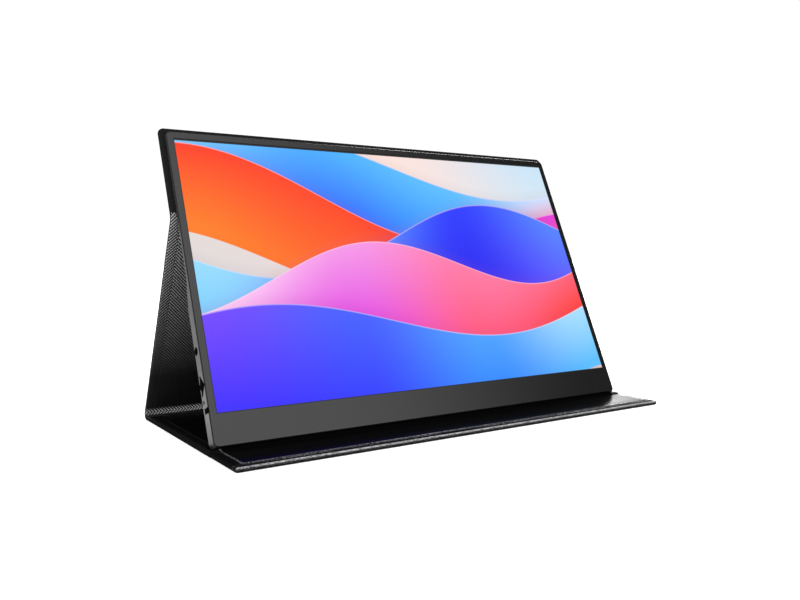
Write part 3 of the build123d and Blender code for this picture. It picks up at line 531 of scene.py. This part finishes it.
class Finish:
    """A material and the nodes that are being wired into it."""

    def __init__(self, name):
        self.material = bpy.data.materials.new(name)
        self.material.use_nodes = True
        self.tree = self.material.node_tree
        self.shader = self.tree.nodes["Principled BSDF"]

    def add(self, kind, **settings):
        made = self.tree.nodes.new(kind)
        for name, value in settings.items():
            setattr(made, name, value)
        return made

    def link(self, source, target):
        self.tree.links.new(source, target)

    def feed(self, socket, value):
        """Put a number, a colour or another node's output into a socket."""
        if isinstance(value, (int, float, tuple, list)):
            socket.default_value = value
        else:
            self.link(value, socket)

    def set(self, **values):
        """Feed the shader's own sockets, whose names have _ for a space here."""
        for name, value in values.items():
            self.feed(self.shader.inputs[name.replace("_", " ")], value)

    def math(self, operation, first, second=0.0, third=None):
        made = self.add("ShaderNodeMath", operation=operation)
        self.feed(made.inputs[0], first)
        self.feed(made.inputs[1], second)
        if third is not None:
            self.feed(made.inputs[2], third)
        return made.outputs[0]

    def plus(self, first, second):
        return self.math("ADD", first, second)

    def minus(self, first, second):
        return self.math("SUBTRACT", first, second)

    def times(self, first, *others):
        for other in others:
            first = self.math("MULTIPLY", first, other)
        return first

    def times_plus(self, first, second, third):
        return self.math("MULTIPLY_ADD", first, second, third)

    def largest(self, first, *others):
        for other in others:
            first = self.math("MAXIMUM", first, other)
        return first

    def apart(self, first, second):
        """How far two values are apart."""
        return self.math("ABSOLUTE", self.minus(first, second))

    def range(self, value, low, high, to_low, to_high):
        made = self.add("ShaderNodeMapRange")
        self.feed(made.inputs["Value"], value)
        made.inputs["From Min"].default_value = low
        made.inputs["From Max"].default_value = high
        self.feed(made.inputs["To Min"], to_low)
        self.feed(made.inputs["To Max"], to_high)
        return made.outputs["Result"]

    def rises(self, value, low, high):
        """0 up to one value, 1 from another on."""
        return self.range(value, low, high, 0.0, 1.0)

    def falls(self, value, low, high):
        """1 up to one value, 0 from another on."""
        return self.range(value, low, high, 1.0, 0.0)

    def blend(self, share, first, second):
        made = self.add("ShaderNodeMix", data_type="RGBA")
        self.feed(made.inputs["Factor"], share)
        self.feed(made.inputs[6], first)
        self.feed(made.inputs[7], second)
        return made.outputs[2]

    def points(self, turn=0.0, stretch=(1, 1, 1), shift_by=(0, 0, 0)):
        """The piece's own coordinates, turned about X and stretched."""
        source = self.add("ShaderNodeTexCoord")
        mapping = self.add("ShaderNodeMapping")
        mapping.inputs["Rotation"].default_value = (turn, 0, 0)
        mapping.inputs["Scale"].default_value = stretch
        mapping.inputs["Location"].default_value = shift_by
        self.link(source.outputs["Object"], mapping.inputs["Vector"])
        return mapping.outputs["Vector"]

    def split(self, vector):
        made = self.add("ShaderNodeSeparateXYZ")
        self.link(vector, made.inputs["Vector"])
        return made.outputs["X"], made.outputs["Y"], made.outputs["Z"]

    def noise(self, vector, per_metre, detail=3.0, rough=0.55):
        made = self.add("ShaderNodeTexNoise")
        self.link(vector, made.inputs["Vector"])
        made.inputs["Scale"].default_value = per_metre
        made.inputs["Detail"].default_value = detail
        made.inputs["Roughness"].default_value = rough
        return made.outputs["Fac"]

    def cells(self, vector, per_metre):
        """How far each place is from the edge of its cell."""
        made = self.add("ShaderNodeTexVoronoi", feature="DISTANCE_TO_EDGE")
        self.link(vector, made.inputs["Vector"])
        made.inputs["Scale"].default_value = per_metre
        return made.outputs["Distance"]

    def relief(self, height, depth, strength, on_coat=False):
        made = self.add("ShaderNodeBump")
        self.feed(made.inputs["Strength"], strength)
        made.inputs["Distance"].default_value = depth
        self.link(height, made.inputs["Height"])
        self.link(made.outputs["Normal"], self.shader.inputs["Normal"])
        if on_coat:
            self.link(made.outputs["Normal"], self.shader.inputs["Coat Normal"])


def grey(value):
    return (value, value, value, 1)


soot = grey(0.003)


def face_points(finish):
    """Places on the monitor: x across, y up its face and z out of it, from its bottom edge."""
    return finish.points(
        turn=-monitor_tilt,
        shift_by=(
            0,
            -(shift * face_up[0] + seat_height * face_up[1]),
            shift * face_up[1] - seat_height * face_up[0],
        ),
    )


def grained_leather(name, polish, worn_highlit_front=False, matt_inside_painted_sheen=False):
    """Black pebbled leather: shallow cells, creases and a light polish."""
    finish = Finish(name)
    place_on = finish.points()
    pebbles = finish.cells(place_on, 900)
    small = finish.noise(place_on, 2600, 4.0)
    broad = finish.noise(place_on, 60, 3.0)
    creases = finish.noise(place_on, 260, 3.0, 0.6)
    height = finish.times_plus(small, 0.16, finish.math("MINIMUM", pebbles, 0.28))
    height = finish.times_plus(creases, 0.4, height)
    hide = finish.blend(finish.rises(height, 0.2, 0.5), grey(0.0012), grey(0.0065))
    finish.set(
        Base_Color=hide,
        Roughness=finish.range(finish.plus(small, broad), 0.7, 1.3, 0.42, 0.6),
        Specular_IOR_Level=0.0,
        Coat_Weight=polish,
        Coat_Roughness=0.28,
    )
    grain = 0.8
    if worn_highlit_front:
        grain = wear_and_highlight_front(finish, place_on, polish, grain)
    finish.relief(height, 0.5 * mm, grain, on_coat=True)
    # Only the outer face keeps its polish; the rims and the inner side lose it and get a lighter
    # base colour instead, a painted sheen.
    if matt_inside_painted_sheen:
        depth = finish.split(face_points(finish))[2]
        outer = finish.falls(depth, 0.1 * mm - outer_depth, 0.6 * mm - outer_depth)
        finish.set(
            Coat_Weight=finish.times(outer, polish),
            Base_Color=finish.blend(outer, grey(0.012), hide),
        )
    return finish.material


def wear_and_highlight_front(finish, place_on, polish, grain):
    """Rub the flap's front and paint it lighter as a painted highlight, speckle its hem's inner
    band with painted highlight and press its right hem smooth: returns the grain.
    """
    x, y, z = finish.split(place_on)
    from_front = finish.minus(y, front_edge + shift)
    near_edge = finish.falls(from_front, 1.1 * mm, 1.9 * mm)
    upper = finish.rises(z, 2.1 * mm, 2.5 * mm)
    lower = finish.range(z, 0.7 * mm, 2.1 * mm, 0.0, 0.16)
    crown = finish.range(
        finish.noise(place_on, 1050, 2.0), 0.43, 0.56,
        finish.range(upper, 0.0, 1.0, 0.05, 0.28), 1.0,
    )
    rubbed_and_highlit = finish.times(near_edge, finish.largest(upper, lower), crown)
    # Light specks along the hem's inner band: painted highlight.
    hem_middle = finish.falls(finish.apart(from_front, 5.2 * mm), 0.8 * mm, 1.3 * mm)
    patchy = finish.range(finish.noise(place_on, 14, 1.0), 0.42, 0.6, 0.15, 1.0)
    specks = finish.rises(finish.noise(place_on, 1100, 2.0), 0.48, 0.58)
    hem_specks_painted_highlight = finish.times(hem_middle, patchy, specks, 0.8)
    pressed = finish.times(
        finish.rises(x, cover_width / 2 - 7.0 * mm, cover_width / 2 - 6.2 * mm),
        finish.rises(from_front, 6.5 * mm, 7.5 * mm),
    )
    # The coat on the front rim is its rubbing polish; the lighter base colour on the rim and the
    # hem's light specks are painted highlight.
    finish.set(
        Coat_Weight=finish.plus(rubbed_and_highlit, finish.range(pressed, 0.0, 1.0, polish, 0.14)),
        Base_Color=finish.blend(finish.largest(hem_specks_painted_highlight, rubbed_and_highlit), soot, grey(0.3)),
    )
    return finish.range(pressed, 0.0, 1.0, grain, 0.08)


def smooth_lining(name, rubbed_highlit_edge=False):
    """Smooth black lining with a very fine grain; where it stands proud of the hem it has more
    polish and a lighter base colour, a painted highlight.
    """
    finish = Finish(name)
    place_on = finish.points()
    fine = finish.noise(place_on, 3000, 5.0)
    broad = finish.noise(place_on, 45, 3.0)
    gloss = 0.14
    finish.relief(finish.times_plus(broad, 2.0, fine), 0.03 * mm, 0.12)
    finish.set(
        Base_Color=finish.blend(broad, grey(0.0008), grey(0.002)),
        Roughness=finish.range(fine, 0.35, 0.65, 0.28, 0.36),
        Specular_IOR_Level=0.0,
        Coat_Weight=gloss,
        Coat_Roughness=0.24,
    )
    if rubbed_highlit_edge:
        x, y, _ = finish.split(place_on)
        front = front_edge + shift + hem_width
        side = cover_width / 2 - hem_width
        creased = crease_front + shift
        edge = finish.largest(
            finish.falls(y, front + 0.7 * mm, front + 1.3 * mm),
            finish.rises(finish.math("ABSOLUTE", x), side - 1.2 * mm, side - 0.7 * mm),
        )
        rubbed_and_highlit = finish.times(edge, finish.rises(finish.noise(place_on, 900, 3.0), 0.4, 0.6))
        on_flap = finish.range(y, creased - 1.5 * mm, creased - 0.5 * mm, gloss, 0.0)
        # The proud edge's lighter base colour is painted highlight; its extra coat is polish.
        finish.set(
            Coat_Weight=finish.times_plus(rubbed_and_highlit, 0.9, on_flap),
            Base_Color=finish.blend(finish.times(rubbed_and_highlit, 0.5), grey(0.0015), grey(0.16)),
        )
    return finish.material


def twill(name, slant):
    """Embossed twill: slanting ribs that turn back at the rear fold, with a silvery row there. The
    rib crests are painted lighter further from the fold, a painted sheen, and the silvery row is
    partly a painted highlight, dimmer near the left edge.
    """
    finish = Finish(name)
    flat_map = finish.add("ShaderNodeUVMap", uv_map="flat")
    x, y, _ = finish.split(flat_map.outputs["UV"])
    up_the_fold = finish.minus(y, twill_turn)
    from_fold = finish.math("ABSOLUTE", up_the_fold)
    row_across = finish.times(x, 2 * pi / twill_period)
    across = finish.times(row_across, slant)
    along = finish.times(from_fold, 2 * pi / twill_period)
    ribs = finish.math("SINE", finish.plus(across, along))
    floats = finish.math("SINE", finish.minus(across, along))
    height = finish.times_plus(floats, 0.45, ribs)
    fine = finish.noise(finish.points(), 4000, 3.0)
    height = finish.times_plus(fine, 0.5, height)
    finish.relief(height, 0.18 * mm, 0.9)
    crest = finish.rises(height, -0.1, 1.3)
    # Painted sheen: the rib crests are painted lighter further from the fold, up the leg.
    crest_painted_sheen = finish.blend(finish.rises(from_fold, 30 * mm, 150 * mm), soot, grey(0.4))
    # A pale silvery row across the fold, its colour partly a painted highlight, painted dimmer
    # near the left edge.
    silver_row_painted_light = finish.times(
        finish.falls(up_the_fold, 1.2 * mm, 3.6 * mm),
        finish.rises(up_the_fold, -2.6 * mm, -1.4 * mm),
        finish.range(x, -cover_width / 2, -0.7 * cover_width / 2, 0.4, 1.0),
    )
    row = finish.math("SINE", finish.plus(row_across, along))
    finish.set(
        Base_Color=finish.blend(
            silver_row_painted_light,
            finish.blend(crest, soot, crest_painted_sheen),
            finish.blend(finish.rises(row, 0.05, 0.5), soot, grey(0.95)),
        ),
        Roughness=finish.range(crest, 0.0, 1.0, 0.65, 0.4),
        Specular_IOR_Level=0.2,
    )
    return finish.material


def bezel_plastic():
    """Satin charcoal plastic with a fine moulded texture."""
    finish = Finish("charcoal_bezel_plastic")
    place_on = finish.points()
    fine = finish.noise(place_on, 5200, 3.0)
    broad = finish.noise(place_on, 25, 2.0)
    finish.relief(fine, 0.03 * mm, 0.25)
    finish.set(
        Base_Color=finish.blend(broad, grey(0.0025), grey(0.004)),
        Roughness=finish.range(fine, 0.3, 0.7, 0.17, 0.21),
    )
    return finish.material


def shell_metal():
    """Dark anodised metal, brushed along the wall. Its seam, its hollow parts and the rims round
    them, and its foot are painted unlit black as painted shade, and the upper left wall is painted
    darker, also painted shade.
    """
    finish = Finish("dark_anodised_metal")
    x, y, z = finish.split(face_points(finish))
    depth = finish.times(z, -1.0)
    half_width = monitor_width / 2
    from_dial = finish.apart(y, dial_up)
    from_scoop = finish.apart(depth, scoop_depth_centre)
    from_light = finish.minus(y, light_up)
    beside_light = finish.minus(depth, light_depth)
    light_reach = finish.math(
        "SQRT",
        finish.times_plus(from_light, from_light, finish.times(beside_light, beside_light)),
    )

    def within(value, reach):
        return finish.falls(value, reach, reach + 0.15 * mm)

    sunk = finish.rises(x, 0.04 * mm - half_width, 0.1 * mm - half_width)
    scoop = finish.times(
        within(from_scoop, 0.44 * scoop_width), within(from_dial, 0.5 * scoop_width)
    )
    slot = finish.times(
        within(finish.apart(depth, dial_depth), 1.2 * mm),
        within(from_dial, dial_slot_length / 2),
    )
    # Painted shade: a dark rim round the scoop, a ring round the status light and a strip between
    # the button and the seam.
    scoop_rim_shade = finish.times_plus(from_dial, 0.85, from_scoop)
    button_strip_shade = finish.times(
        within(depth, 3.0 * mm), within(finish.apart(y, button_up), 1.8 * mm)
    )
    hollow_and_rim_shade = finish.largest(
        finish.times(sunk, scoop),
        finish.times(sunk, slot),
        within(scoop_rim_shade, 0.62 * scoop_width),
        within(light_reach, 1.2 * mm),
        button_strip_shade,
    )
    dark = finish.largest(
        finish.times(hollow_and_rim_shade, finish.falls(x, -10 * mm, 0.0)),
        finish.falls(y, 0.4 * mm, 1.2 * mm),
    )
    unlit = finish.largest(finish.falls(depth, 0.9 * mm, 1.1 * mm), dark)
    brushed = finish.noise(
        finish.points(turn=-monitor_tilt, stretch=(9000, 60, 9000)), 1.0, 4.0, 0.6
    )
    broad = finish.noise(finish.points(), 30, 2.0)
    finish.relief(brushed, 0.02 * mm, 0.2)
    # Painted shade: the left wall is painted darker from 15 mm up, fully from 50 mm.
    upper_left_wall_shade = finish.times(
        finish.falls(x, 1 * mm - half_width, 4 * mm - half_width),
        finish.rises(y, 15 * mm, 50 * mm),
    )
    bare = finish.blend(
        upper_left_wall_shade,
        finish.blend(brushed, grey(0.14), grey(0.18)),
        finish.blend(brushed, grey(0.052), grey(0.068)),
    )
    finish.set(
        Base_Color=finish.blend(unlit, bare, finish.blend(dark, grey(0.03), soot)),
        Metallic=finish.range(unlit, 0.0, 1.0, 0.85, 0.0),
        Roughness=finish.range(finish.plus(brushed, broad), 0.7, 1.3, 0.3, 0.42),
        Specular_IOR_Level=0.0,
    )
    return finish.material


def button_finish():
    """The power button: a matt black pad with a lighter metal edge at its back."""
    finish = Finish("two_tone_power_button")
    depth = finish.times(finish.split(face_points(finish))[2], -1.0)
    edge = finish.rises(depth, 6.3 * mm, 6.5 * mm)
    fine = finish.noise(finish.points(), 3500, 3.0)
    finish.relief(fine, 0.03 * mm, 0.2)
    finish.set(
        Base_Color=finish.blend(edge, finish.blend(fine, soot, grey(0.005)), grey(0.2)),
        Metallic=finish.times(edge, 0.85),
        Roughness=finish.range(fine, 0.3, 0.7, 0.42, 0.5),
        Specular_IOR_Level=0.0,
    )
    return finish.material


def moulded(name, low, high, rough, gloss=0.0, per_metre=3500, shine=0.5):
    """Moulded plastic with a faint grain."""
    finish = Finish(name)
    fine = finish.noise(finish.points(), per_metre, 3.0)
    finish.relief(fine, 0.04 * mm, 0.3)
    finish.set(
        Base_Color=finish.blend(fine, low, high),
        Roughness=finish.range(fine, 0.3, 0.7, rough, rough + 0.1),
        Coat_Weight=gloss,
        Specular_IOR_Level=shine,
    )
    return finish.material


def plain_metal(name, low, high, rough, lines=(2000, 2000, 2000)):
    """Bare metal with a faint grain, drawn out into lines where the counts differ."""
    finish = Finish(name)
    grain = finish.noise(finish.points(stretch=lines), 1.0, 4.0)
    finish.relief(grain, 0.02 * mm, 0.2)
    finish.set(
        Base_Color=finish.blend(grain, low, high),
        Metallic=1.0,
        Roughness=finish.range(grain, 0.3, 0.7, rough, rough + 0.12),
    )
    return finish.material


def linear(red, green, blue):
    """A screen colour given in 0 to 255 steps, as light."""
    def one(value):
        value /= 255
        return value / 12.92 if value <= 0.04045 else ((value + 0.055) / 1.055) ** 2.4
    return (one(red), one(green), one(blue), 1)


def ramp(finish, value, *places):
    """Colours that run softly into each other, each given with its place from 0 to 1."""
    made = finish.add("ShaderNodeValToRGB")
    finish.feed(made.inputs[0], value)
    bar = made.color_ramp
    bar.interpolation = "EASE"
    while len(bar.elements) < len(places):
        bar.elements.new(0.5)
    for element, (position, colour) in zip(bar.elements, places):
        element.position = position
        element.color = linear(*colour)
    return made.outputs[0]


def evenly(*colours):
    """Colours spread evenly over a ramp."""
    return [(index / (len(colours) - 1), colour) for index, colour in enumerate(colours)]


# Each ribbon's upper edge as a wave (height, slope, swing, count, phase), its width, and the
# colours along its crest and its foot
ribbons = [
    (
        (0.99, -0.10, 0.10, 0.85, 0.4), 0.36,
        evenly((120, 215, 255), (70, 180, 255), (90, 190, 255), (205, 225, 255)),
        evenly((0, 90, 255), (10, 60, 255), (0, 140, 255), (255, 110, 140)),
    ),
    (
        (0.86, -0.22, 0.13, 0.95, 1.3), 0.32,
        evenly((255, 45, 0), (255, 60, 0), (225, 40, 60), (225, 50, 220)),
        evenly((255, 122, 0), (255, 100, 0), (255, 60, 50), (255, 90, 120)),
    ),
    (
        (0.60, 0.04, 0.15, 0.9, 3.6), 0.32,
        evenly((150, 220, 255), (90, 150, 255), (30, 50, 255), (80, 130, 255)),
        evenly((90, 190, 255), (40, 60, 255), (20, 10, 235), (90, 30, 255)),
    ),
    (
        (0.44, 0.10, 0.12, 1.05, 5.2), 0.28,
        evenly((252, 205, 245), (245, 150, 232), (255, 120, 165), (255, 95, 120)),
        evenly((235, 110, 235), (225, 60, 225), (255, 70, 110), (255, 60, 50)),
    ),
    (
        (0.24, 0.08, 0.11, 0.8, 1.0), 0.345,
        evenly((110, 60, 255), (60, 90, 255), (70, 160, 255), (170, 225, 255)),
        evenly((50, 20, 255), (20, 30, 255), (0, 120, 255), (90, 190, 255)),
    ),
]


def lit_screen():
    """The lit panel: flowing ribbons of colour, one laid over the other, inside a black border."""
    finish = Finish("lit_screen_ribbons")
    x, y, _ = finish.split(face_points(finish))
    u = finish.plus(finish.math("DIVIDE", x, screen_width), 0.5)
    v = finish.math("DIVIDE", finish.minus(y, bezel_bottom), screen_height)
    blur = 0.0008

    def ribbon_edge(height, slope, swing, count, phase):
        """A ribbon's edge: its height at each place across the screen."""
        angle = finish.plus(finish.times(u, 2 * pi * count), phase)
        swung = finish.times(finish.math("SINE", angle), swing)
        return finish.plus(finish.times_plus(u, slope, height), swung)

    picture = finish.blend(
        finish.rises(v, 0.0, 1.0),
        ramp(finish, u, (0.0, (214, 232, 248)), (0.4, (250, 240, 235)), (1.0, (255, 237, 213))),
        ramp(finish, u, (0.0, (255, 237, 213)), (0.5, (250, 225, 218)), (1.0, (200, 228, 248))),
    )
    for edge_shape, width, crest_colours, foot_colours in ribbons:
        height, slope, swing, count, phase = edge_shape
        edge = ribbon_edge(*edge_shape)
        foot = ribbon_edge(height - width, slope * 0.5, swing * 0.8, count * 1.15, phase + 0.7)
        below = finish.minus(edge, v)
        above_foot = finish.minus(v, foot)
        thickness = finish.largest(finish.minus(edge, foot), 0.05)
        colour = finish.blend(
            finish.rises(finish.math("DIVIDE", below, thickness), 0.0, 0.9),
            ramp(finish, u, *crest_colours),
            ramp(finish, u, *foot_colours),
        )
        lip = finish.times(finish.falls(below, 0.001, 0.006), 0.45)
        colour = finish.blend(lip, colour, linear(255, 225, 235))
        shade = finish.range(below, -0.05, 0.0, 0.0, 0.1)
        picture = finish.blend(shade, picture, linear(150, 80, 130))
        covers = finish.times(
            finish.rises(below, -blur, blur), finish.rises(above_foot, -blur, blur)
        )
        picture = finish.blend(covers, picture, colour)
    from_side = finish.minus(0.5, finish.apart(u, 0.5))
    below_top = finish.minus(1.0, v)
    lit = finish.times(
        finish.rises(from_side, 0.5 * mm / screen_width, 0.8 * mm / screen_width),
        finish.rises(v, 0.5 * mm / screen_height, 0.8 * mm / screen_height),
        finish.rises(below_top, 1.3 * mm / screen_height, 1.6 * mm / screen_height),
    )
    finish.set(
        Base_Color=grey(0.01),
        Emission_Color=finish.blend(lit, grey(0.008), picture),
        Emission_Strength=1.0,
        Roughness=0.32,
        Specular_IOR_Level=0.15,
    )
    return finish.material


leather = grained_leather("black_grained_leather", 0.025)
back_leather = grained_leather("back_grained_leather", 0.2)
upper_grain = grained_leather("upper_grained_leather", 0.2, matt_inside_painted_sheen=True)
worn_and_highlit_leather = grained_leather("front_worn_highlit_leather", 0.03, worn_highlit_front=True)
smooth = smooth_lining("smooth_black_lining")
front_smooth = smooth_lining("front_rubbed_highlit_lining", rubbed_highlit_edge=True)
weave = twill("embossed_twill", 1)
hem_weave = twill("embossed_twill_hem", -1)
bezel = bezel_plastic()
metal = shell_metal()
screen = lit_screen()
black_plastic = moulded("moulded_black_plastic", grey(0.010), grey(0.018), 0.45)
dial_plastic = moulded("matt_black_dial", grey(0.002), grey(0.004), 0.5, shine=0.0)
button_pad = button_finish()
socket_steel = plain_metal("plated_socket_steel", grey(0.42), grey(0.55), 0.28)
screw_steel = plain_metal("blackened_screw_steel", grey(0.10), grey(0.16), 0.34)
sheet_steel = plain_metal("plain_sheet_steel", grey(0.5), grey(0.62), 0.3, (4000, 60, 60))
spreader = plain_metal("heat_spreader_aluminium", grey(0.6), grey(0.72), 0.3)
nickel = plain_metal("nickel_magnets", grey(0.6), grey(0.7), 0.2)
light_lens = moulded("smoked_light_lens", grey(0.004), grey(0.008), 0.3, shine=0.05)
green_board = moulded(
    "green_solder_mask", (0.01, 0.09, 0.035, 1), (0.015, 0.13, 0.05, 1), 0.35, 0.3
)
ribbon = moulded("amber_ribbon_film", (0.32, 0.13, 0.02, 1), (0.42, 0.2, 0.04, 1), 0.25, 0.4)
film = moulded("white_optical_film", grey(0.75), grey(0.82), 0.35)
card = moulded(
    "pressed_grey_board", (0.26, 0.22, 0.16, 1), (0.34, 0.29, 0.22, 1), 0.75, per_metre=900
)
red_sheath = moulded("red_lead_sheath", (0.25, 0.012, 0.012, 1), (0.35, 0.02, 0.02, 1), 0.4)
foam = moulded("black_foam_tape", grey(0.02), grey(0.04), 0.8, per_metre=1500)


def finish_piece(piece, material):
    piece.data.materials.clear()
    piece.data.materials.append(material)


finishes = {
    metal: ["rear_shell"],
    bezel: ["front_bezel"],
    screen: ["display_cell"],
    film: ["prism_film", "diffuser_film", "reflector_film", "light_guide", "led_strip"],
    sheet_steel: ["panel_frame", "steel_plates"],
    foam: ["panel_tape"],
    green_board: ["main_board", "side_board", "timing_board"],
    ribbon: ["panel_flex", "display_cable", "link_cable"],
    black_plastic: ["board_chips", "dial_switch", "power_switch", "left_speaker", "right_speaker"],
    dial_plastic: ["dial_wheel", "dial_carrier", "audio_jack"],
    button_pad: ["power_button"],
    spreader: ["heat_spreader"],
    socket_steel: ["usb_c_sockets", "mini_hdmi_socket"],
    screw_steel: ["board_screws", "casing_screws"],
    light_lens: ["status_light_pipe"],
    red_sheath: ["speaker_leads"],
    card: [
        "upper_board", "leg_board", "base_board", "spine_board", "flap_board", "seat_lip_strip",
    ],
    nickel: ["upper_magnets", "flap_magnets"],
}
for material, names in finishes.items():
    for name in names:
        finish_piece(nodes[name], material)

for piece, material, slot_name, replaced in (
    (flap_leather, worn_and_highlit_leather, "cover_skin", ["flap_skin", "flap_binding", "crease_strip"]),
    (base_leather, leather, "cover_skin", ["base_skin", "base_binding", "rear_fold_strip"]),
    (leg_leather, back_leather, "cover_skin", ["leg_skin", "leg_binding", "mid_fold_strip"]),
    (upper_leather, upper_grain, "cover_skin", ["upper_skin", "upper_binding"]),
    (front_lining, front_smooth, "smooth_lining", ["flap_lining"]),
    (base_lining, smooth, "smooth_lining", ["base_lining"]),
    (spine_twill, weave, "twill_lining", ["spine_lining"]),
    (leg_twill, weave, "twill_lining", ["leg_lining"]),
    (upper_lining, smooth, "smooth_lining", ["upper_lining"]),
):
    finish_piece(piece, material)
    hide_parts(*replaced)


# The hems beside the twill are twill too


def weave_inside(piece, cloth, wanted):
    """Give a twill to the faces that wanted() says yes to."""
    piece.data.materials.append(cloth)
    for face in piece.data.polygons:
        if wanted(face.center, face.normal):
            face.material_index = 1


def inside_leg(centre, normal):
    facing = normal.y * -leg_up[1] + normal.z * leg_up[0]
    return facing > 0.6 and abs(centre.x) > cover_width / 2 - hem_width - 0.5 * mm


def inside_spine(centre, normal):
    return centre.y > spine_front + shift and (normal.z > 0.6 or normal.y < -0.6)


weave_inside(leg_leather, hem_weave, inside_leg)
weave_inside(base_leather, weave, inside_spine)


# Bodies that the pieces go with


def at(point):
    return (0, point[0] + shift, point[1])


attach(upper_leather, "upper_cover")
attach(upper_lining, "upper_cover")
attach(base_lining, "base")
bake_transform(flap_leather)
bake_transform(front_lining)
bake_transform(base_leather)
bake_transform(spine_twill)
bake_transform(leg_leather)
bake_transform(leg_twill)

# Floor, light and camera

bpy.ops.object.select_all(action="DESELECT")
bpy.ops.mesh.primitive_plane_add(size=12, location=(0, 0, 0))
floor = bpy.context.object
floor.name = "floor"
floor_finish = Finish("pale_floor")
mottle = floor_finish.noise(floor_finish.points(), 3.0)
seen = floor_finish.add("ShaderNodeLightPath").outputs["Is Camera Ray"]
floor_finish.set(
    Base_Color=floor_finish.blend(mottle, grey(0.88), grey(0.92)),
    Roughness=0.7,
    Emission_Color=grey(1),
    Emission_Strength=floor_finish.times(seen, 0.45),
)
finish_piece(floor, floor_finish.material)

scene = bpy.context.scene
scene.view_settings.view_transform = "Standard"
world = bpy.data.worlds.new("studio")
scene.world = world
world.use_nodes = True


class Studio(Finish):
    """The light round the object: a white backdrop to the eye, soft boxes to the gloss."""

    def __init__(self, studio_world):
        self.tree = studio_world.node_tree
        self.shader = self.tree.nodes["Background"]
        self.direction = self.add("ShaderNodeTexCoord").outputs["Generated"]

    def glow(self, towards, full, edge, strength):
        """Light from one side, even out to one angle in degrees and gone at another."""
        near = self.add("ShaderNodeVectorMath", operation="DOT_PRODUCT")
        self.link(self.direction, near.inputs[0])
        near.inputs[1].default_value = Vector(towards).normalized()
        made = self.add("ShaderNodeMapRange", interpolation_type="SMOOTHSTEP")
        self.link(near.outputs["Value"], made.inputs["Value"])
        made.inputs["From Min"].default_value = cos(radians(edge))
        made.inputs["From Max"].default_value = cos(radians(full))
        made.inputs["To Max"].default_value = strength
        return made.outputs["Result"]


studio = Studio(world)
light = 0.08
backdrop = 1.05
# Each box: where it is, the angles at which it is still even and already gone, its strength
for box in (
    ((-0.1, -0.9, 0.42), 35, 53, 1.85),
    ((0.0, 1.0, 0.12), 45, 80, 1.1),
    ((0.62, 0.77, 0.17), 8, 17, 21.0),
    ((-1.0, -0.2, 0.3), 20, 60, 1.6),
    ((0.9, 0.4, 0.4), 15, 35, 0.5),
):
    light = studio.plus(studio.glow(*box), light)
to_eye = studio.add("ShaderNodeLightPath").outputs["Is Camera Ray"]
to_gloss = studio.times(light, studio.minus(1.0, to_eye))
studio.set(Color=grey(1), Strength=studio.times_plus(to_eye, backdrop, to_gloss))


def softbox(name, place_at, target, along, width, length, watts):
    """A rectangular lamp that faces the target, with its length along a direction."""
    data = bpy.data.lights.new(name, "AREA")
    data.shape = "RECTANGLE"
    data.size = width
    data.size_y = length
    data.energy = watts
    lamp = bpy.data.objects.new(name, data)
    scene.collection.objects.link(lamp)
    back = (Vector(place_at) - Vector(target)).normalized()
    side = (Vector(along) - back * back.dot(Vector(along))).normalized()
    axes = Matrix((side.cross(back), side, back)).transposed().to_4x4()
    lamp.matrix_world = Matrix.Translation(place_at) @ axes


softbox(
    "top_softbox", (1.13, 0.6, 1.5), target=(0, -0.08, 0), along=(0, -0.92, 0.4),
    width=0.6, length=1.3, watts=34,
)

# The photograph's camera, solved in its 800 x 600 steps
picture_width, picture_height = 800, 600
focal_length = 799.21
picture_centre = (387.32, 268.9)
sensor_width = 36
yaw, pitch = radians(33.364), radians(1.417)
camera_place = (-352.41 * mm, -455.31 * mm + shift, 124.83 * mm)
camera_data = bpy.data.cameras.new("camera")
camera = bpy.data.objects.new("camera", camera_data)
scene.collection.objects.link(camera)
scene.camera = camera
camera_data.sensor_width = sensor_width
camera_data.lens = focal_length / picture_width * sensor_width
camera_data.shift_x = (picture_width / 2 - picture_centre[0]) / picture_width
camera_data.shift_y = (picture_centre[1] - picture_height / 2) / picture_width
camera_data.clip_start = 0.01
forward = Vector((sin(yaw) * cos(pitch), cos(yaw) * cos(pitch), -sin(pitch)))
right = Vector((cos(yaw), -sin(yaw), 0))
up = right.cross(forward)
turned = Matrix((right, up, -forward)).transposed().to_4x4()
camera.matrix_world = Matrix.Translation(camera_place) @ turned
